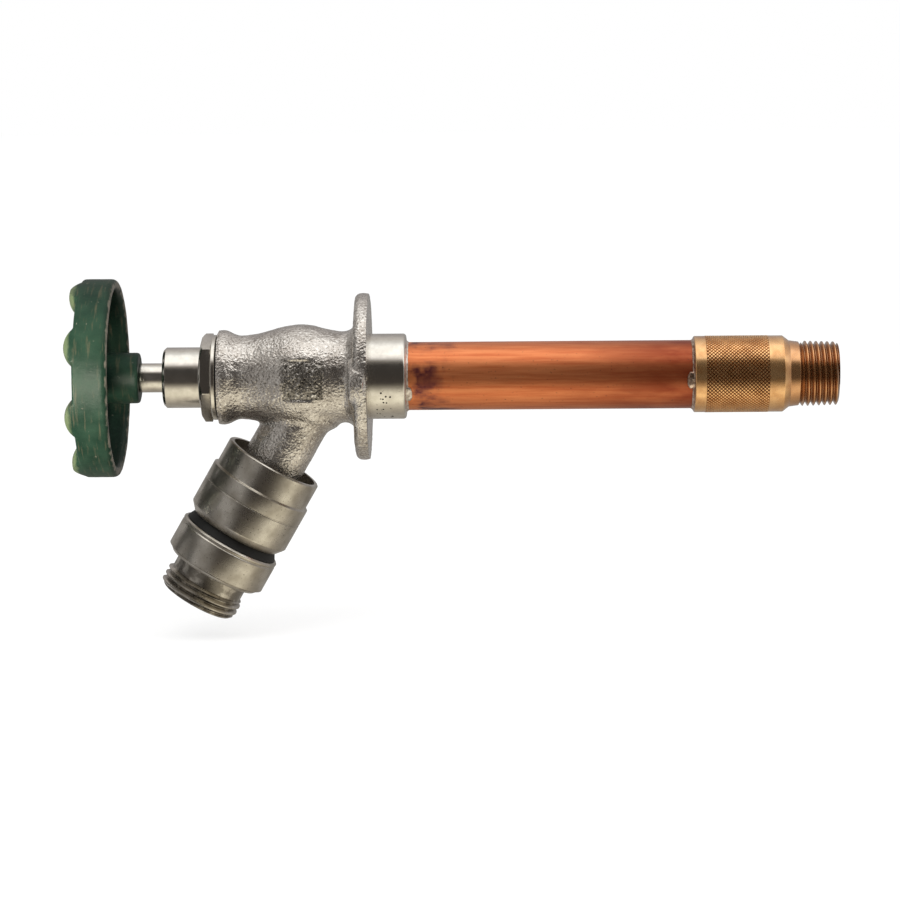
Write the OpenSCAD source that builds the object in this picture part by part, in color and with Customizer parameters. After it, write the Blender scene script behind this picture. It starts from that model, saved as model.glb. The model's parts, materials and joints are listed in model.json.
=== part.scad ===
// Frost-free wall sillcock: handwheel, long stem in a copper tube, hose connection dual check breaker.
// Frame: the tube runs along X with the inlet at +X, the handwheel at -X, Z is up.
// The origin is the centre of the flange face that meets the wall.

/* [Wall flange] */
// Diameter of the round flange
flange_d = 54.4; // [50:0.2:64]
// Thickness of the flange
flange_thick = 4.4; // [3.4:0.1:6]
// Rounding of the flange's edges
flange_round = 1.4; // [0.4:0.1:1.6]
// Distance between the two screw holes
screw_spacing = 40; // [38.4:0.2:41]
// Diameter of the screw holes
screw_hole_d = 5.2; // [4:0.1:6]
// Diameter of the raised pad round each screw hole
screw_pad_d = 14.4; // [12:0.2:15]
// Height of the raised pads
screw_pad_high = 1.5; // [0.6:0.1:2.4]

/* [Copper tube] */
// Outside diameter of the tube
tube_d = 22.225; // [21:0.025:23]
// Wall of the tube
tube_wall = 1.14; // [0.8:0.02:1.5]
// Length of tube that shows between the hub and the inlet fitting
tube_show = 93.4; // [60:0.2:400]
// Depth of the tube's sockets in the hub and in the inlet fitting
tube_socket = 9; // [6:0.5:11]
// Radial gap for solder round the tube
solder_gap = 0.08; // [0.04:0.01:0.15]
// Length of the hub behind the flange
hub_len = 12.1; // [10:0.1:16]
// Wall of the hub round the tube
hub_wall = 2.8; // [2:0.1:4]

/* [Body casting] */
// Length of the casting in front of the flange
body_len = 44.6; // [44:0.2:54]
// Diameter of the lip at the front
lip_d = 31; // [29:0.2:34]
// Diameter of the waist behind the lip
waist_d = 27.2; // [26:0.2:29]
// Distance of the waist from the front end
waist_back = 7; // [6:0.2:9]
// Diameter at the widest part of the belly
belly_d = 35; // [33:0.2:38]
// Distance of the belly from the front end
belly_back = 27; // [24:0.5:29]
// Diameter of the rear neck in front of the flange
shoulder_d = 31.8; // [29:0.2:33]
// Fillet between the rear neck and the flange
shoulder_fillet = 3.6; // [2:0.2:4]
// Diameter of the water way inside the casting
cavity_d = 20; // [18:0.2:20.8]
// Width of the bare cast field on the near side
field_w = 12.8; // [8:0.2:16]
// Height of the bare cast field
field_h = 13.3; // [8:0.1:16]
// Depth of the bare cast field
field_deep = 0.5; // [0.2:0.1:0.8]

/* [Outlet] */
// Tilt of the outlet from straight down, towards the handwheel
outlet_tilt = 30; // [24:0.5:34]
// Distance of the outlet's axis in front of the wall, on the tube's axis
outlet_front = 15.4; // [14:0.2:18]
// Diameter of the outlet's neck
neck_d = 20.5; // [19.6:0.1:22]
// Radius of the flare where the neck leaves the belly
neck_flare = 6; // [3:0.5:8]
// Distance along the outlet to the breaker's upper rim
rim_down = 32.2; // [31:0.2:38]
// Diameter of the outlet's own hose thread
spout_thread_d = 26.6; // [26.4:0.05:26.8]
// Length of the outlet's own hose thread
spout_thread_len = 10.6; // [8:0.2:11.6]
// Depth of the thread's start below the breaker's rim
spout_thread_deep = 4.8; // [3:0.2:5.8]
// Diameter of the outlet's bore
spout_bore_d = 14; // [12:0.2:15]

/* [Bonnet] */
// Size across the flats of the bonnet's hexagon
hex_af = 25.4; // [23:0.1:28]
// Thickness of the hexagon
hex_thick = 3.5; // [3:0.1:6]
// Turn of the hexagon about the tube
hex_turn = 15; // [0:1:59]
// Diameter of the round collar behind the hexagon
collar_d = 27.8; // [26:0.1:30]
// Thickness of the round collar
collar_thick = 1.5; // [1:0.1:3]
// Thickness of the gasket under the collar
gasket_thick = 0.5; // [0.3:0.05:1]
// Diameter of the snout in front of the hexagon
snout_d = 19.8; // [19:0.1:22]
// Length of the snout
snout_len = 12.5; // [11:0.1:16]
// Wall of the snout's front end
snout_front_wall = 3; // [2:0.1:4]
// Diameter of the bonnet's thread in the casting
bonnet_thread_d = 21.8; // [21:0.05:22.2]
// Length of the bonnet's thread in the casting
bonnet_thread_len = 10; // [8:0.2:12]
// Diameter of the chamber for the stem packing
packing_d = 14; // [12.6:0.1:14.6]
// Length of the stem packing
packing_len = 3.6; // [2:0.1:4]
// Thickness of the packing washer
packing_washer_thick = 1; // [0.6:0.1:1.4]
// Thickness of the retaining ring behind the packing
packing_clip_thick = 1; // [0.6:0.1:1.4]
// Depth of the retaining ring's groove
clip_groove = 0.8; // [0.4:0.1:1]

/* [Stem] */
// Diameter of the stem where it passes through the packing
stem_d = 9.525; // [8.4:0.025:10]
// Radial running gap round the stem
running_gap = 0.09; // [0.04:0.01:0.1]
// Length of stem that shows between the bonnet and the handwheel
stem_show = 8; // [4:0.2:14]
// Diameter of the stem's screw thread
stem_thread_d = 14.4; // [13.6:0.1:14.6]
// Length of the stem's screw thread
stem_thread_len = 12; // [8:0.5:13]
// Travel of the stem in one turn of the handwheel
lead = 3; // [2:0.1:3.2]
// Turns of the handwheel from shut to open
turns = 2.5; // [1:0.25:2.5]
// Diameter of the long rod inside the tube
rod_d = 8; // [6.4:0.1:8.4]
// Width across the flats of the square that drives the handwheel
square_af = 6.6; // [6:0.1:6.7]
// Length of the guide on the rod
guide_len = 8; // [5:0.5:12]
// Distance of the guide from the valve seat
guide_from_seat = 27; // [20:0.5:30]
// Gap between the guide's wings and the tube
guide_gap = 0.4; // [0.2:0.05:0.8]

/* [Valve seat and washer] */
// Diameter of the seat washer
washer_d = 13.2; // [12:0.1:14]
// Thickness of the seat washer
washer_thick = 2.6; // [2:0.1:3.4]
// Length of the swivel holder
holder_len = 8.9; // [8.6:0.1:11]
// Wall of the holder round the washer
holder_wall = 0.75; // [0.5:0.05:1]
// Diameter of the button on the stem's end
button_d = 6.8; // [6:0.1:7.2]
// Diameter of the neck behind the button
button_neck_d = 4.4; // [3.6:0.1:4.8]
// Gap round the button in its holder
button_gap = 0.3; // [0.2:0.05:0.4]
// Diameter of the water way through the seat
seat_bore_d = 10; // [9:0.1:10.4]
// Width of the raised seat
seat_land = 1.1; // [0.8:0.05:1.3]
// Height of the raised seat
seat_high = 1; // [0.6:0.1:1.6]
// Distance from the tube's end to the seat
seat_deep = 7.5; // [7:0.1:9]
// Diameter of the seat screw's head
seat_screw_head_d = 6.4; // [5:0.1:7]

/* [Inlet fitting] */
// Diameter of the fitting's collar
fitting_d = 25; // [24.6:0.1:28]
// Length of the collar
fitting_len = 28.9; // [26:0.1:34]
// Diameter of the plain neck behind the collar
fitting_neck_d = 21.6; // [21.4:0.1:23]
// Length of the chamfer at the collar's rear end
fitting_chamfer = 2.1; // [0.5:0.1:2.8]
// Distance from the collar to the pipe thread
fitting_neck_len = 5.6; // [3:0.1:8]
// Diameter of the pipe thread at its large end
pipe_thread_d = 21.34; // [21.2:0.01:21.4]
// Length of the pipe thread
pipe_thread_len = 12.4; // [10:0.1:14]
// Pitch of the pipe thread
pipe_pitch = 1.814; // [1.5:0.01:2]
// Diameter of the solder socket in the inlet's end
solder_socket_d = 15.95; // [15.6:0.05:16.2]
// Depth of the solder socket
solder_socket_len = 12.7; // [10:0.1:13]

/* [Handwheel] */
// Diameter of the handwheel
wheel_d = 64.8; // [58:0.2:76]
// Width of the rim along the axis
rim_wide = 11.2; // [7:0.1:12]
// Wall of the rim
rim_wall = 3.6; // [3:0.1:5]
// Thickness of the front plate and spokes
plate_thick = 3; // [2.4:0.1:4]
// Rounding of the rim's front edge
rim_round = 1.2; // [0.4:0.1:1.4]
// Number of lobes on the front
lobes = 8; // [6:1:10]
// Diameter of each lobe at its base
lobe_d = 12.4; // [10:0.2:13]
// Height of each lobe
lobe_high = 3; // [2.5:0.1:5]
// Distance of the lobes' centres from the axis
lobe_circle_r = 28.8; // [26:0.1:30]
// Turn of the first lobe from the vertical
lobe_turn = 25.5; // [0:0.5:45]
// Number of spokes
spokes = 4; // [3:1:6]
// Width of each spoke
spoke_w = 9; // [6:0.2:10]
// Diameter of the wheel's hub
wheel_hub_d = 16.6; // [15:0.1:18]
// Reach of the hub behind the rim
hub_reach = 7; // [3:0.1:10]
// Diameter of the screw that holds the wheel
handle_screw_d = 4.2; // [3.4:0.1:4.8]
// Diameter of the disc under the screw's head
disc_d = 14; // [11:0.2:15]
// Thickness of the disc
disc_thick = 0.8; // [0.5:0.1:1.2]

/* [Breaker body] */
// Diameter of the breaker's upper rim
upper_rim_d = 32.8; // [32:0.1:34]
// Length of the upper rim
upper_rim_len = 8.6; // [6:0.1:11]
// Diameter of the breaker's band
band_d = 34.6; // [34:0.1:37]
// Length from the breaker's rim to its lower face
breaker_len = 26.4; // [26:0.1:30]
// Length of the bevel at the lower end
band_bevel = 2.6; // [1.6:0.1:3]
// Diameter of the breaker's lower face
lower_face_d = 30.4; // [29.6:0.1:31.5]
// Wall of the upper rim at its mouth
rim_lip = 1.5; // [1:0.1:2]
// Radial gap between the outlet's thread and the breaker
thread_gap = 0.25; // [0.1:0.05:0.3]
// Thickness of the breaker's gasket
breaker_gasket_thick = 2; // [1.4:0.1:2.6]
// Thickness of the web that holds the first seat
web_thick = 2; // [1.5:0.1:2.5]
// Diameter of the first seat's opening
first_seat_d = 12.4; // [10:0.1:13]
// Diameter of the chamber below the web
chamber_d = 26; // [25.4:0.1:26.6]
// Diameter of the breaker's set screw
set_screw_d = 4; // [3:0.1:4.6]

/* [Drain sleeve] */
// Thickness of the rubber vent seal
vent_seal_thick = 1.6; // [1:0.1:2.6]
// Diameter of the vent seal
vent_seal_d = 29.8; // [28.6:0.1:30.2]
// Diameter of the sleeve's ring
ring_d = 34.2; // [33.6:0.1:36]
// Length of the sleeve's ring
ring_len = 13.3; // [12:0.1:16]
// Diameter of the sleeve's spigot inside the breaker
spigot_d = 22.4; // [21.8:0.1:23]
// Diameter of the spigot's stop flange
stop_d = 25.4; // [24.4:0.1:25.6]
// Thickness of the stop flange
stop_thick = 1.6; // [1.2:0.1:2]
// Gap between the stop flange and the web
stop_gap = 0.8; // [0.4:0.1:1]
// Travel of the sleeve when it is pulled to drain
drain_travel = 1.6; // [0.8:0.1:1.7]
// Thickness of the sleeve's retaining ring
sleeve_clip_thick = 1; // [0.8:0.1:1.2]
// Diameter of the sleeve's bore
sleeve_bore_d = 18.4; // [17:0.1:18.8]
// Diameter of the second seat's opening
second_seat_d = 11.2; // [9:0.1:12]
// Distance from the sleeve's upper face to the second seat's web
second_seat_down = 3.8; // [3.4:0.1:5]
// Diameter of the plain neck above the hose thread
nipple_neck_d = 24.8; // [23:0.1:25.4]
// Diameter of the hose thread
hose_thread_d = 26.98; // [26.8:0.01:27.1]
// Length of the hose thread
hose_thread_len = 6.9; // [6.6:0.1:12]
// Pitch of the hose thread
hose_pitch = 2.209; // [2:0.001:2.4]
// Diameter of the nipple's mouth
mouth_d = 19.2; // [19:0.1:20.4]

/* [Checks] */
// Thickness of each check disc
check_disc_thick = 1.2; // [0.8:0.1:1.6]
// Thickness of each check's rubber face
check_face_thick = 0.8; // [0.5:0.1:1.2]
// Diameter of the check discs
check_disc_d = 15.2; // [14.4:0.1:15.8]
// Diameter of the check stems
check_stem_d = 3.4; // [2.6:0.1:3.6]
// Travel of each check
check_lift = 2.5; // [1:0.1:2.5]
// Gap between a check stem and its guide
guide_bore_gap = 0.1; // [0.05:0.01:0.1]
// Length of each guide tube
guide_tube_len = 5; // [4.4:0.1:5.5]
// Thickness of each guide's ring and arms
cage_thick = 2; // [1.4:0.1:2.4]
// Wire diameter of the check springs
spring_wire_d = 0.8; // [0.5:0.05:0.9]
// Mean diameter of the check springs
spring_mean_d = 10.4; // [9:0.1:11]
// Curls in each check spring
spring_curls = 5; // [3:1:5]

/* [Hidden] */
$fn = 72;

// Small clearances and cuts
eps = 0.01;
cut = 0.5;
loose = 0.05;
seat_gap = 0.3;

// Slot of each split ring, and its gap to the stem
clip_slot = 2;
clip_room = 1;

// Stations along the tube
flange_front_x = -flange_thick;
body_front_x = flange_front_x - body_len;
gasket_x = body_front_x - gasket_thick;
hex_back_x = gasket_x - collar_thick;
snout_back_x = hex_back_x - hex_thick;
snout_front_x = snout_back_x - snout_len;
bonnet_back_x = body_front_x + bonnet_thread_len;
packing_x = snout_front_x + snout_front_wall;
packing_washer_x = packing_x + packing_len;
packing_clip_x = packing_washer_x + packing_washer_thick;
thread_room_x = packing_clip_x + packing_clip_thick;
fitting_x = hub_len + tube_show;
tube_front_x = hub_len - tube_socket - hub_wall;
tube_back_x = fitting_x + tube_socket;
seat_x = tube_back_x + seat_deep;
seat_floor_x = seat_x + seat_high;
fitting_neck_x = fitting_x + fitting_len;
pipe_thread_x = fitting_neck_x + fitting_neck_len;
inlet_end_x = pipe_thread_x + pipe_thread_len;

// Stem and washer
lift = turns * lead;
stem_r = stem_d / 2;
stem_thread_x = thread_room_x + lift + cut;
stem_thread_end_x = stem_thread_x + stem_thread_len;
thread_root = 0.9;
thread_run_out = 2;
washer_x = seat_x - washer_thick;
holder_x = washer_x - holder_len;
throat_len = 1.8;
button_thick = 1.4;
button_x = holder_x + throat_len + button_gap;
button_end_x = button_x + button_thick;
rod_end_x = holder_x - seat_gap;
holder_r = washer_d / 2 + loose + holder_wall;
holder_lip = washer_thick * 0.45;
guide_x = seat_x - guide_from_seat;
seat_screw_r = 1.7;
seat_screw_len = 3.4;
seat_screw_head = 1.5;

// Handwheel
wheel_hub_x = snout_front_x - stem_show;
rim_back_x = wheel_hub_x - hub_reach;
rim_front_x = rim_back_x - rim_wide;
plate_back_x = rim_front_x + plate_thick;
wheel_hub_front_x = plate_back_x;
disc_x = wheel_hub_front_x - disc_thick;
screw_head = 2;
screw_head_r = 4.6;
screw_grip = 9;
plate_in_r = lobe_circle_r - lobe_d / 2;

// Casting
lip_len = 1.6;
cavity_r = cavity_d / 2;
belly_x = body_front_x + belly_back;
waist_x = body_front_x + waist_back;
shoulder_x = flange_front_x - shoulder_fillet;
hub_r = tube_d / 2 + hub_wall;
hub_round = 1;
field_x = belly_x;
field_z = -1.4;

// Wire of the drain spring
wave_wire_r = 0.25;

// Stations along the outlet, from the tube's axis
spout_thread_t = rim_down + spout_thread_deep;
spout_end_t = spout_thread_t + spout_thread_len;
web_t = spout_end_t + breaker_gasket_thick;
chamber_t = web_t + web_thick;
lower_face_t = rim_down + breaker_len;
stop_t = chamber_t + stop_gap;
stop_end_t = stop_t + stop_thick;
clip_t = stop_end_t + drain_travel + 2 * wave_wire_r + seat_gap;
ring_t = lower_face_t + vent_seal_thick;
ring_bevel = 0.5;
seal_edge = 0.3;
ring_end_t = ring_t + ring_len;
nipple_neck_len = 4.6;
hose_thread_t = ring_end_t + nipple_neck_len;
outlet_end_t = hose_thread_t + hose_thread_len;
thread_deep = 1.15;
set_screw_down = 1.5;

// Checks
first_disc_t = chamber_t + check_face_thick;
first_stem_t = first_disc_t + check_disc_thick;
second_web_t = ring_t + second_seat_down;
second_seat_t = second_web_t + web_thick;
first_guide_t = second_web_t - cage_thick;
first_tip_t = second_seat_t - check_lift - seat_gap;
second_disc_t = second_seat_t + check_face_thick;
second_stem_t = second_disc_t + check_disc_thick;
second_spring_room = 8.5;
second_guide_t = second_stem_t + second_spring_room;
second_guide_end_t = second_guide_t + cage_thick;
guide_clip_thick = 1;
guide_ring_w = 1.6;
guide_hub_r = check_stem_d / 2 + 1.4;
second_tip_t = second_guide_end_t - seat_gap;
spring_wire_r = spring_wire_d / 2;
spring_mean_r = spring_mean_d / 2;

// Ring sections and facets of the spring wire
rings_per_curl = 8;
rings_per_wave = 12;
wire_sides = 6;

// A solid of revolution about the tube's axis, from points of [place along X, radius]
module turned(outline) {
    rotate([0, 90, 0])
        rotate_extrude()
            polygon([for (p = outline) [p[1], p[0]]]);
}

// A plain ring about the tube's axis
module x_ring(x0, x1, r_out, r_in) {
    turned([[x0, r_in], [x1, r_in], [x1, r_out], [x0, r_out]]);
}

// A plain rod about the tube's axis
module x_rod(x0, x1, r) {
    translate([x0, 0, 0])
        rotate([0, 90, 0])
            cylinder(h = x1 - x0, r = r);
}

// Turns the Z axis onto the outlet, with the tube's axis at zero
module on_outlet() {
    translate([-outlet_front, 0, 0])
        rotate([0, 180 + outlet_tilt, 0])
            children();
}

// A solid of revolution about the Z axis, from points of [place along Z, radius]
module spun(outline) {
    rotate_extrude()
        polygon([for (p = outline) [p[1], p[0]]]);
}

module z_ring(t0, t1, r_out, r_in) {
    spun([[t0, r_in], [t1, r_in], [t1, r_out], [t0, r_out]]);
}

module z_rod(t0, t1, r) {
    translate([0, 0, t0])
        cylinder(h = t1 - t0, r = r);
}

// Points of an arc in [place, radius], drawn about a centre
function arc(place, radius, r, from, to, steps = 6) = [
    for (i = [0:steps])
        let (a = from + (to - from) * i / steps)
            [place + r * cos(a), radius + r * sin(a)]
];

// Points of a smooth swell between two radii
function swell(x0, r0, x1, r1, steps = 8) = [
    for (i = [0:steps])
        let (u = i / steps)
            [x0 + (x1 - x0) * u, r0 + (r1 - r0) * (1 - cos(180 * u)) / 2]
];

// Crests and roots of a screw thread as rings, with an optional taper of the radius along it
function thread_rings(x0, x1, r, deep, pitch, taper = 0) = [
    for (i = [0:floor((x1 - x0) / pitch) - 1])
        let (x = x0 + i * pitch)
            for (p = [[0, deep], [0.35, 0], [0.6, 0], [0.95, deep]])
                [x + p[0] * pitch, r - p[1] - i * pitch * taper]
];

// Flange, belly, outlet and bonnet socket, cast in one piece
module valve_body() {
    color([0.66, 0.63, 0.58])
        difference() {
            union() {
                turned(concat(
                    [[0, 0]],
                    arc(-flange_round, flange_d / 2 - flange_round, flange_round, 0, 90),
                    arc(flange_front_x + flange_round, flange_d / 2 - flange_round, flange_round, 90, 180),
                    arc(shoulder_x, shoulder_d / 2 + shoulder_fillet, shoulder_fillet, 0, -90),
                    swell(shoulder_x, shoulder_d / 2, belly_x, belly_d / 2),
                    swell(belly_x, belly_d / 2, waist_x, waist_d / 2),
                    swell(waist_x, waist_d / 2, body_front_x + lip_len, lip_d / 2, 5),
                    [[body_front_x + lip_len / 2, lip_d / 2], [body_front_x, lip_d / 2 - lip_len / 2]],
                    [[body_front_x, 0]]
                ));
                hub();
                for (side = [-1, 1])
                    intersection() {
                        translate([0, side * screw_spacing / 2, 0])
                            x_rod(flange_front_x - screw_pad_high, 0, screw_pad_d / 2);
                        x_rod(flange_front_x - screw_pad_high, 0, flange_d / 2 - flange_round / 2);
                    }
                spout();
            }
            x_rod(body_front_x - cut, bonnet_back_x + cut, bonnet_thread_d / 2 + thread_gap);
            x_rod(bonnet_back_x, tube_front_x + eps, cavity_r);
            x_rod(tube_front_x, hub_len + cut, tube_d / 2 + solder_gap);
            on_outlet()
                z_rod(0, spout_end_t + cut, spout_bore_d / 2);
            for (side = [-1, 1])
                translate([0, side * screw_spacing / 2, 0])
                    x_rod(flange_front_x - screw_pad_high - cut, cut, screw_hole_d / 2);
            bare_field();
        }
}

// Round hub behind the flange, which holds the tube
module hub() {
    turned(concat(
        [[-eps, 0], [-eps, hub_r]],
        arc(hub_len - hub_round, hub_r - hub_round, hub_round, 90, 0, 4),
        [[hub_len, 0]]
    ));
}

// Outlet neck, with its flare under the belly and its own hose thread
module spout() {
    neck_r = neck_d / 2;
    corner_t = (belly_d / 2 - neck_r * sin(outlet_tilt)) / cos(outlet_tilt);
    flare_t = corner_t + neck_flare / tan(45 + outlet_tilt / 2);
    flare = arc(flare_t, neck_r + neck_flare, neck_flare, 180 + outlet_tilt, 270, 8);
    on_outlet()
        spun(concat(
            [[0, 0], [0, flare[0][1]]],
            flare,
            [[spout_thread_t, neck_r]],
            thread_rings(spout_thread_t, spout_end_t, spout_thread_d / 2, thread_deep, hose_pitch),
            [[spout_end_t, spout_thread_d / 2 - thread_deep], [spout_end_t, 0]]
        ));
}

// Shallow bare field cast into the belly's near side
module bare_field() {
    difference() {
        translate([field_x - field_w / 2, -belly_d / 2 - cut, field_z - field_h / 2])
            cube([field_w, belly_d / 2, field_h]);
        x_rod(field_x - field_w, field_x + field_w, belly_d / 2 - field_deep);
    }
}

module copper_tube() {
    color([0.76, 0.38, 0.24])
        x_ring(tube_front_x, tube_back_x, tube_d / 2, tube_d / 2 - tube_wall);
}

// Solder and braze left at the two sockets' mouths
module front_solder_ring() {
    color([0.62, 0.62, 0.58])
        turned([
            [hub_len, tube_d / 2], [hub_len + 0.9, tube_d / 2],
            [hub_len + 0.3, tube_d / 2 + 0.6], [hub_len, tube_d / 2 + 0.9]
        ]);
}

module rear_solder_ring() {
    color([0.72, 0.60, 0.36])
        turned([
            [fitting_x, tube_d / 2], [fitting_x - 0.8, tube_d / 2],
            [fitting_x - 0.3, tube_d / 2 + 0.5], [fitting_x, tube_d / 2 + 0.8]
        ]);
}

// Brass fitting that holds the valve seat, with a pipe thread outside and a solder socket inside
module inlet_fitting() {
    socket_r = tube_d / 2 + solder_gap;
    pipe_deep = 1.2;
    mouth_r = pipe_thread_d / 2 - pipe_thread_len / 32 - pipe_deep;
    collar_round = 0.5;
    neck_taper = 0.4;
    color([0.72, 0.58, 0.32])
        difference() {
            turned(concat(
                [[fitting_x, 0], [fitting_x, fitting_d / 2 - collar_round]],
                [[fitting_x + collar_round, fitting_d / 2], [fitting_neck_x - collar_round, fitting_d / 2]],
                [[fitting_neck_x, fitting_d / 2 - collar_round]],
                [[fitting_neck_x + fitting_chamfer, fitting_neck_d / 2]],
                [[pipe_thread_x, fitting_neck_d / 2 - neck_taper]],
                thread_rings(pipe_thread_x, inlet_end_x - 0.8, pipe_thread_d / 2, pipe_deep, pipe_pitch, 1 / 32),
                [[inlet_end_x, mouth_r], [inlet_end_x, 0]]
            ));
            x_rod(fitting_x - cut, tube_back_x, socket_r);
            difference() {
                x_rod(tube_back_x - cut, seat_floor_x, tube_d / 2 - tube_wall - cut);
                x_ring(seat_x, seat_floor_x + cut, seat_bore_d / 2 + seat_land, 0);
            }
            x_rod(seat_x - cut, inlet_end_x, seat_bore_d / 2);
            x_rod(inlet_end_x - solder_socket_len, inlet_end_x + cut, solder_socket_d / 2);
        }
}

// Hexagon, collar, snout and thread of the bonnet
module bonnet() {
    hex_corner_r = hex_af / 2 / cos(30);
    chamfer = 1;
    color([0.74, 0.72, 0.68])
        difference() {
            union() {
                turned([
                    [bonnet_back_x, 0], [bonnet_back_x, bonnet_thread_d / 2 - chamfer],
                    [bonnet_back_x - chamfer, bonnet_thread_d / 2], [gasket_x, bonnet_thread_d / 2],
                    [gasket_x, collar_d / 2 - cut], [gasket_x - cut, collar_d / 2],
                    [hex_back_x, collar_d / 2], [hex_back_x, snout_d / 2], [snout_front_x + chamfer, snout_d / 2],
                    [snout_front_x, snout_d / 2 - chamfer], [snout_front_x, 0]
                ]);
                intersection() {
                    translate([snout_back_x, 0, 0])
                        rotate([0, 90, 0])
                            rotate([0, 0, hex_turn])
                                cylinder(h = hex_thick, r = hex_corner_r, $fn = 6);
                    turned([
                        [hex_back_x + eps, 0], [hex_back_x + eps, hex_corner_r],
                        [snout_back_x + chamfer, hex_corner_r], [snout_back_x, hex_af / 2 + 0.2], [snout_back_x, 0]
                    ]);
                }
            }
            x_rod(snout_front_x - cut, packing_x + cut, stem_r + running_gap);
            x_rod(packing_x, packing_clip_x + cut, packing_d / 2);
            x_rod(packing_clip_x, thread_room_x, packing_d / 2 + clip_groove);
            x_rod(thread_room_x - cut, bonnet_back_x + cut, stem_thread_d / 2 + seat_gap);
        }
}

module bonnet_gasket() {
    color([0.25, 0.25, 0.24])
        x_ring(gasket_x, body_front_x, collar_d / 2 - cut, bonnet_thread_d / 2 + thread_gap);
}

module stem_packing() {
    color([0.16, 0.16, 0.16])
        x_ring(packing_x, packing_washer_x, packing_d / 2 - loose, stem_r + running_gap);
}

module packing_washer() {
    color([0.78, 0.64, 0.36])
        x_ring(packing_washer_x, packing_clip_x, packing_d / 2 - loose, stem_r + 2 * running_gap);
}

// Split ring that holds the packing in
module packing_clip() {
    color([0.55, 0.56, 0.58])
        difference() {
            x_ring(packing_clip_x, thread_room_x, packing_d / 2 + clip_groove - loose, stem_r + clip_room);
            translate([packing_clip_x - cut, -clip_slot / 2, 0])
                cube([packing_clip_thick + 2 * cut, clip_slot, packing_d]);
        }
}

// Stem with its drive square, screw thread, long rod and button
module stem_rod() {
    square_x = wheel_hub_x - square_len();
    thread_r = stem_thread_d / 2;
    color([0.75, 0.70, 0.60])
        difference() {
            union() {
                turned(concat(
                    [[wheel_hub_x, 0], [wheel_hub_x, stem_r], [stem_thread_x - thread_root, stem_r]],
                    thread_rings(stem_thread_x, stem_thread_end_x, thread_r, thread_root, lead),
                    [[stem_thread_end_x, thread_r - thread_root], [stem_thread_end_x + thread_run_out, rod_d / 2]],
                    [[rod_end_x, rod_d / 2], [rod_end_x, button_neck_d / 2], [button_x, button_neck_d / 2]],
                    [[button_x, button_d / 2], [button_end_x, button_d / 2], [button_end_x, 0]]
                ));
                translate([square_x, -square_af / 2, -square_af / 2])
                    cube([square_len() + eps, square_af, square_af]);
            }
            x_rod(square_x - cut, square_x + screw_grip, handle_screw_d / 2 + loose);
        }
}

function square_len() = wheel_hub_x - wheel_hub_front_x - 1;

// Winged guide that keeps the rod in the middle of the tube
module stem_guide() {
    wings = 3;
    wing_w = 2;
    wing_r = tube_d / 2 - tube_wall - guide_gap;
    sleeve_r = rod_d / 2 + 1.4;
    color([0.90, 0.90, 0.86])
        difference() {
            union() {
                x_rod(guide_x, guide_x + guide_len, sleeve_r);
                intersection() {
                    for (i = [0:wings - 1])
                        rotate([360 / wings * i, 0, 0])
                            translate([guide_x, -wing_w / 2, 0])
                                cube([guide_len, wing_w, wing_r]);
                    x_rod(guide_x, guide_x + guide_len, wing_r);
                }
            }
            x_rod(guide_x - cut, guide_x + guide_len + cut, rod_d / 2 + loose);
        }
}

// Cast wheel with a rim, a front plate with lobes, spokes and a hub
module handwheel() {
    rim_r = wheel_d / 2;
    back_round = rim_wall / 2;
    color([0.05, 0.30, 0.20])
        difference() {
            union() {
                turned(concat(
                    [[plate_back_x, rim_r - rim_wall]],
                    arc(rim_back_x - back_round, rim_r - back_round, back_round, -90, 90, 8),
                    arc(rim_front_x + rim_round, rim_r - rim_round, rim_round, 90, 180, 5),
                    [[rim_front_x, plate_in_r], [plate_back_x, plate_in_r]]
                ));
                x_rod(wheel_hub_front_x, wheel_hub_x, wheel_hub_d / 2);
                for (i = [0:spokes - 1])
                    rotate([360 / spokes * i, 0, 0])
                        translate([plate_back_x - plate_thick, -spoke_w / 2, 0])
                            cube([plate_thick + 1, spoke_w, plate_in_r + 1]);
                wheel_lobes();
            }
            x_rod(rim_front_x - cut, wheel_hub_front_x, disc_d / 2 + seat_gap);
            translate([wheel_hub_front_x - cut, -square_af / 2 - loose, -square_af / 2 - loose])
                cube([wheel_hub_x - wheel_hub_front_x + 2 * cut, square_af + 2 * loose, square_af + 2 * loose]);
        }
}

// Domed lobes on the front of the wheel, cut off at the rim
module wheel_lobes() {
    dome_r = (pow(lobe_d / 2, 2) + pow(lobe_high, 2)) / (2 * lobe_high);
    intersection() {
        for (i = [0:lobes - 1])
            rotate([lobe_turn + 360 / lobes * i, 0, 0])
                translate([rim_front_x - lobe_high + dome_r, 0, lobe_circle_r])
                    sphere(r = dome_r);
        x_rod(rim_front_x - lobe_high - cut, plate_back_x, wheel_d / 2 - rim_round / 2);
    }
}

// Plain disc under the screw's head
module handle_disc() {
    color([0.82, 0.82, 0.80])
        x_ring(disc_x, wheel_hub_front_x, disc_d / 2, handle_screw_d / 2 + loose);
}

module handle_screw() {
    slot_w = 1.2;
    slot_deep = 1;
    color([0.78, 0.77, 0.74])
        difference() {
            union() {
                turned(concat(
                    [[disc_x, 0], [disc_x, screw_head_r], [disc_x - screw_head / 2, screw_head_r]],
                    [[disc_x - screw_head, screw_head_r - 1], [disc_x - screw_head, 0]]
                ));
                x_rod(disc_x - eps, disc_x + screw_grip, handle_screw_d / 2);
            }
            for (turn = [0, 90])
                rotate([turn, 0, 0])
                    translate([disc_x - screw_head - cut, -slot_w / 2, -screw_head_r * 0.6])
                        cube([slot_deep + cut, slot_w, screw_head_r * 1.2]);
        }
}

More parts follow.
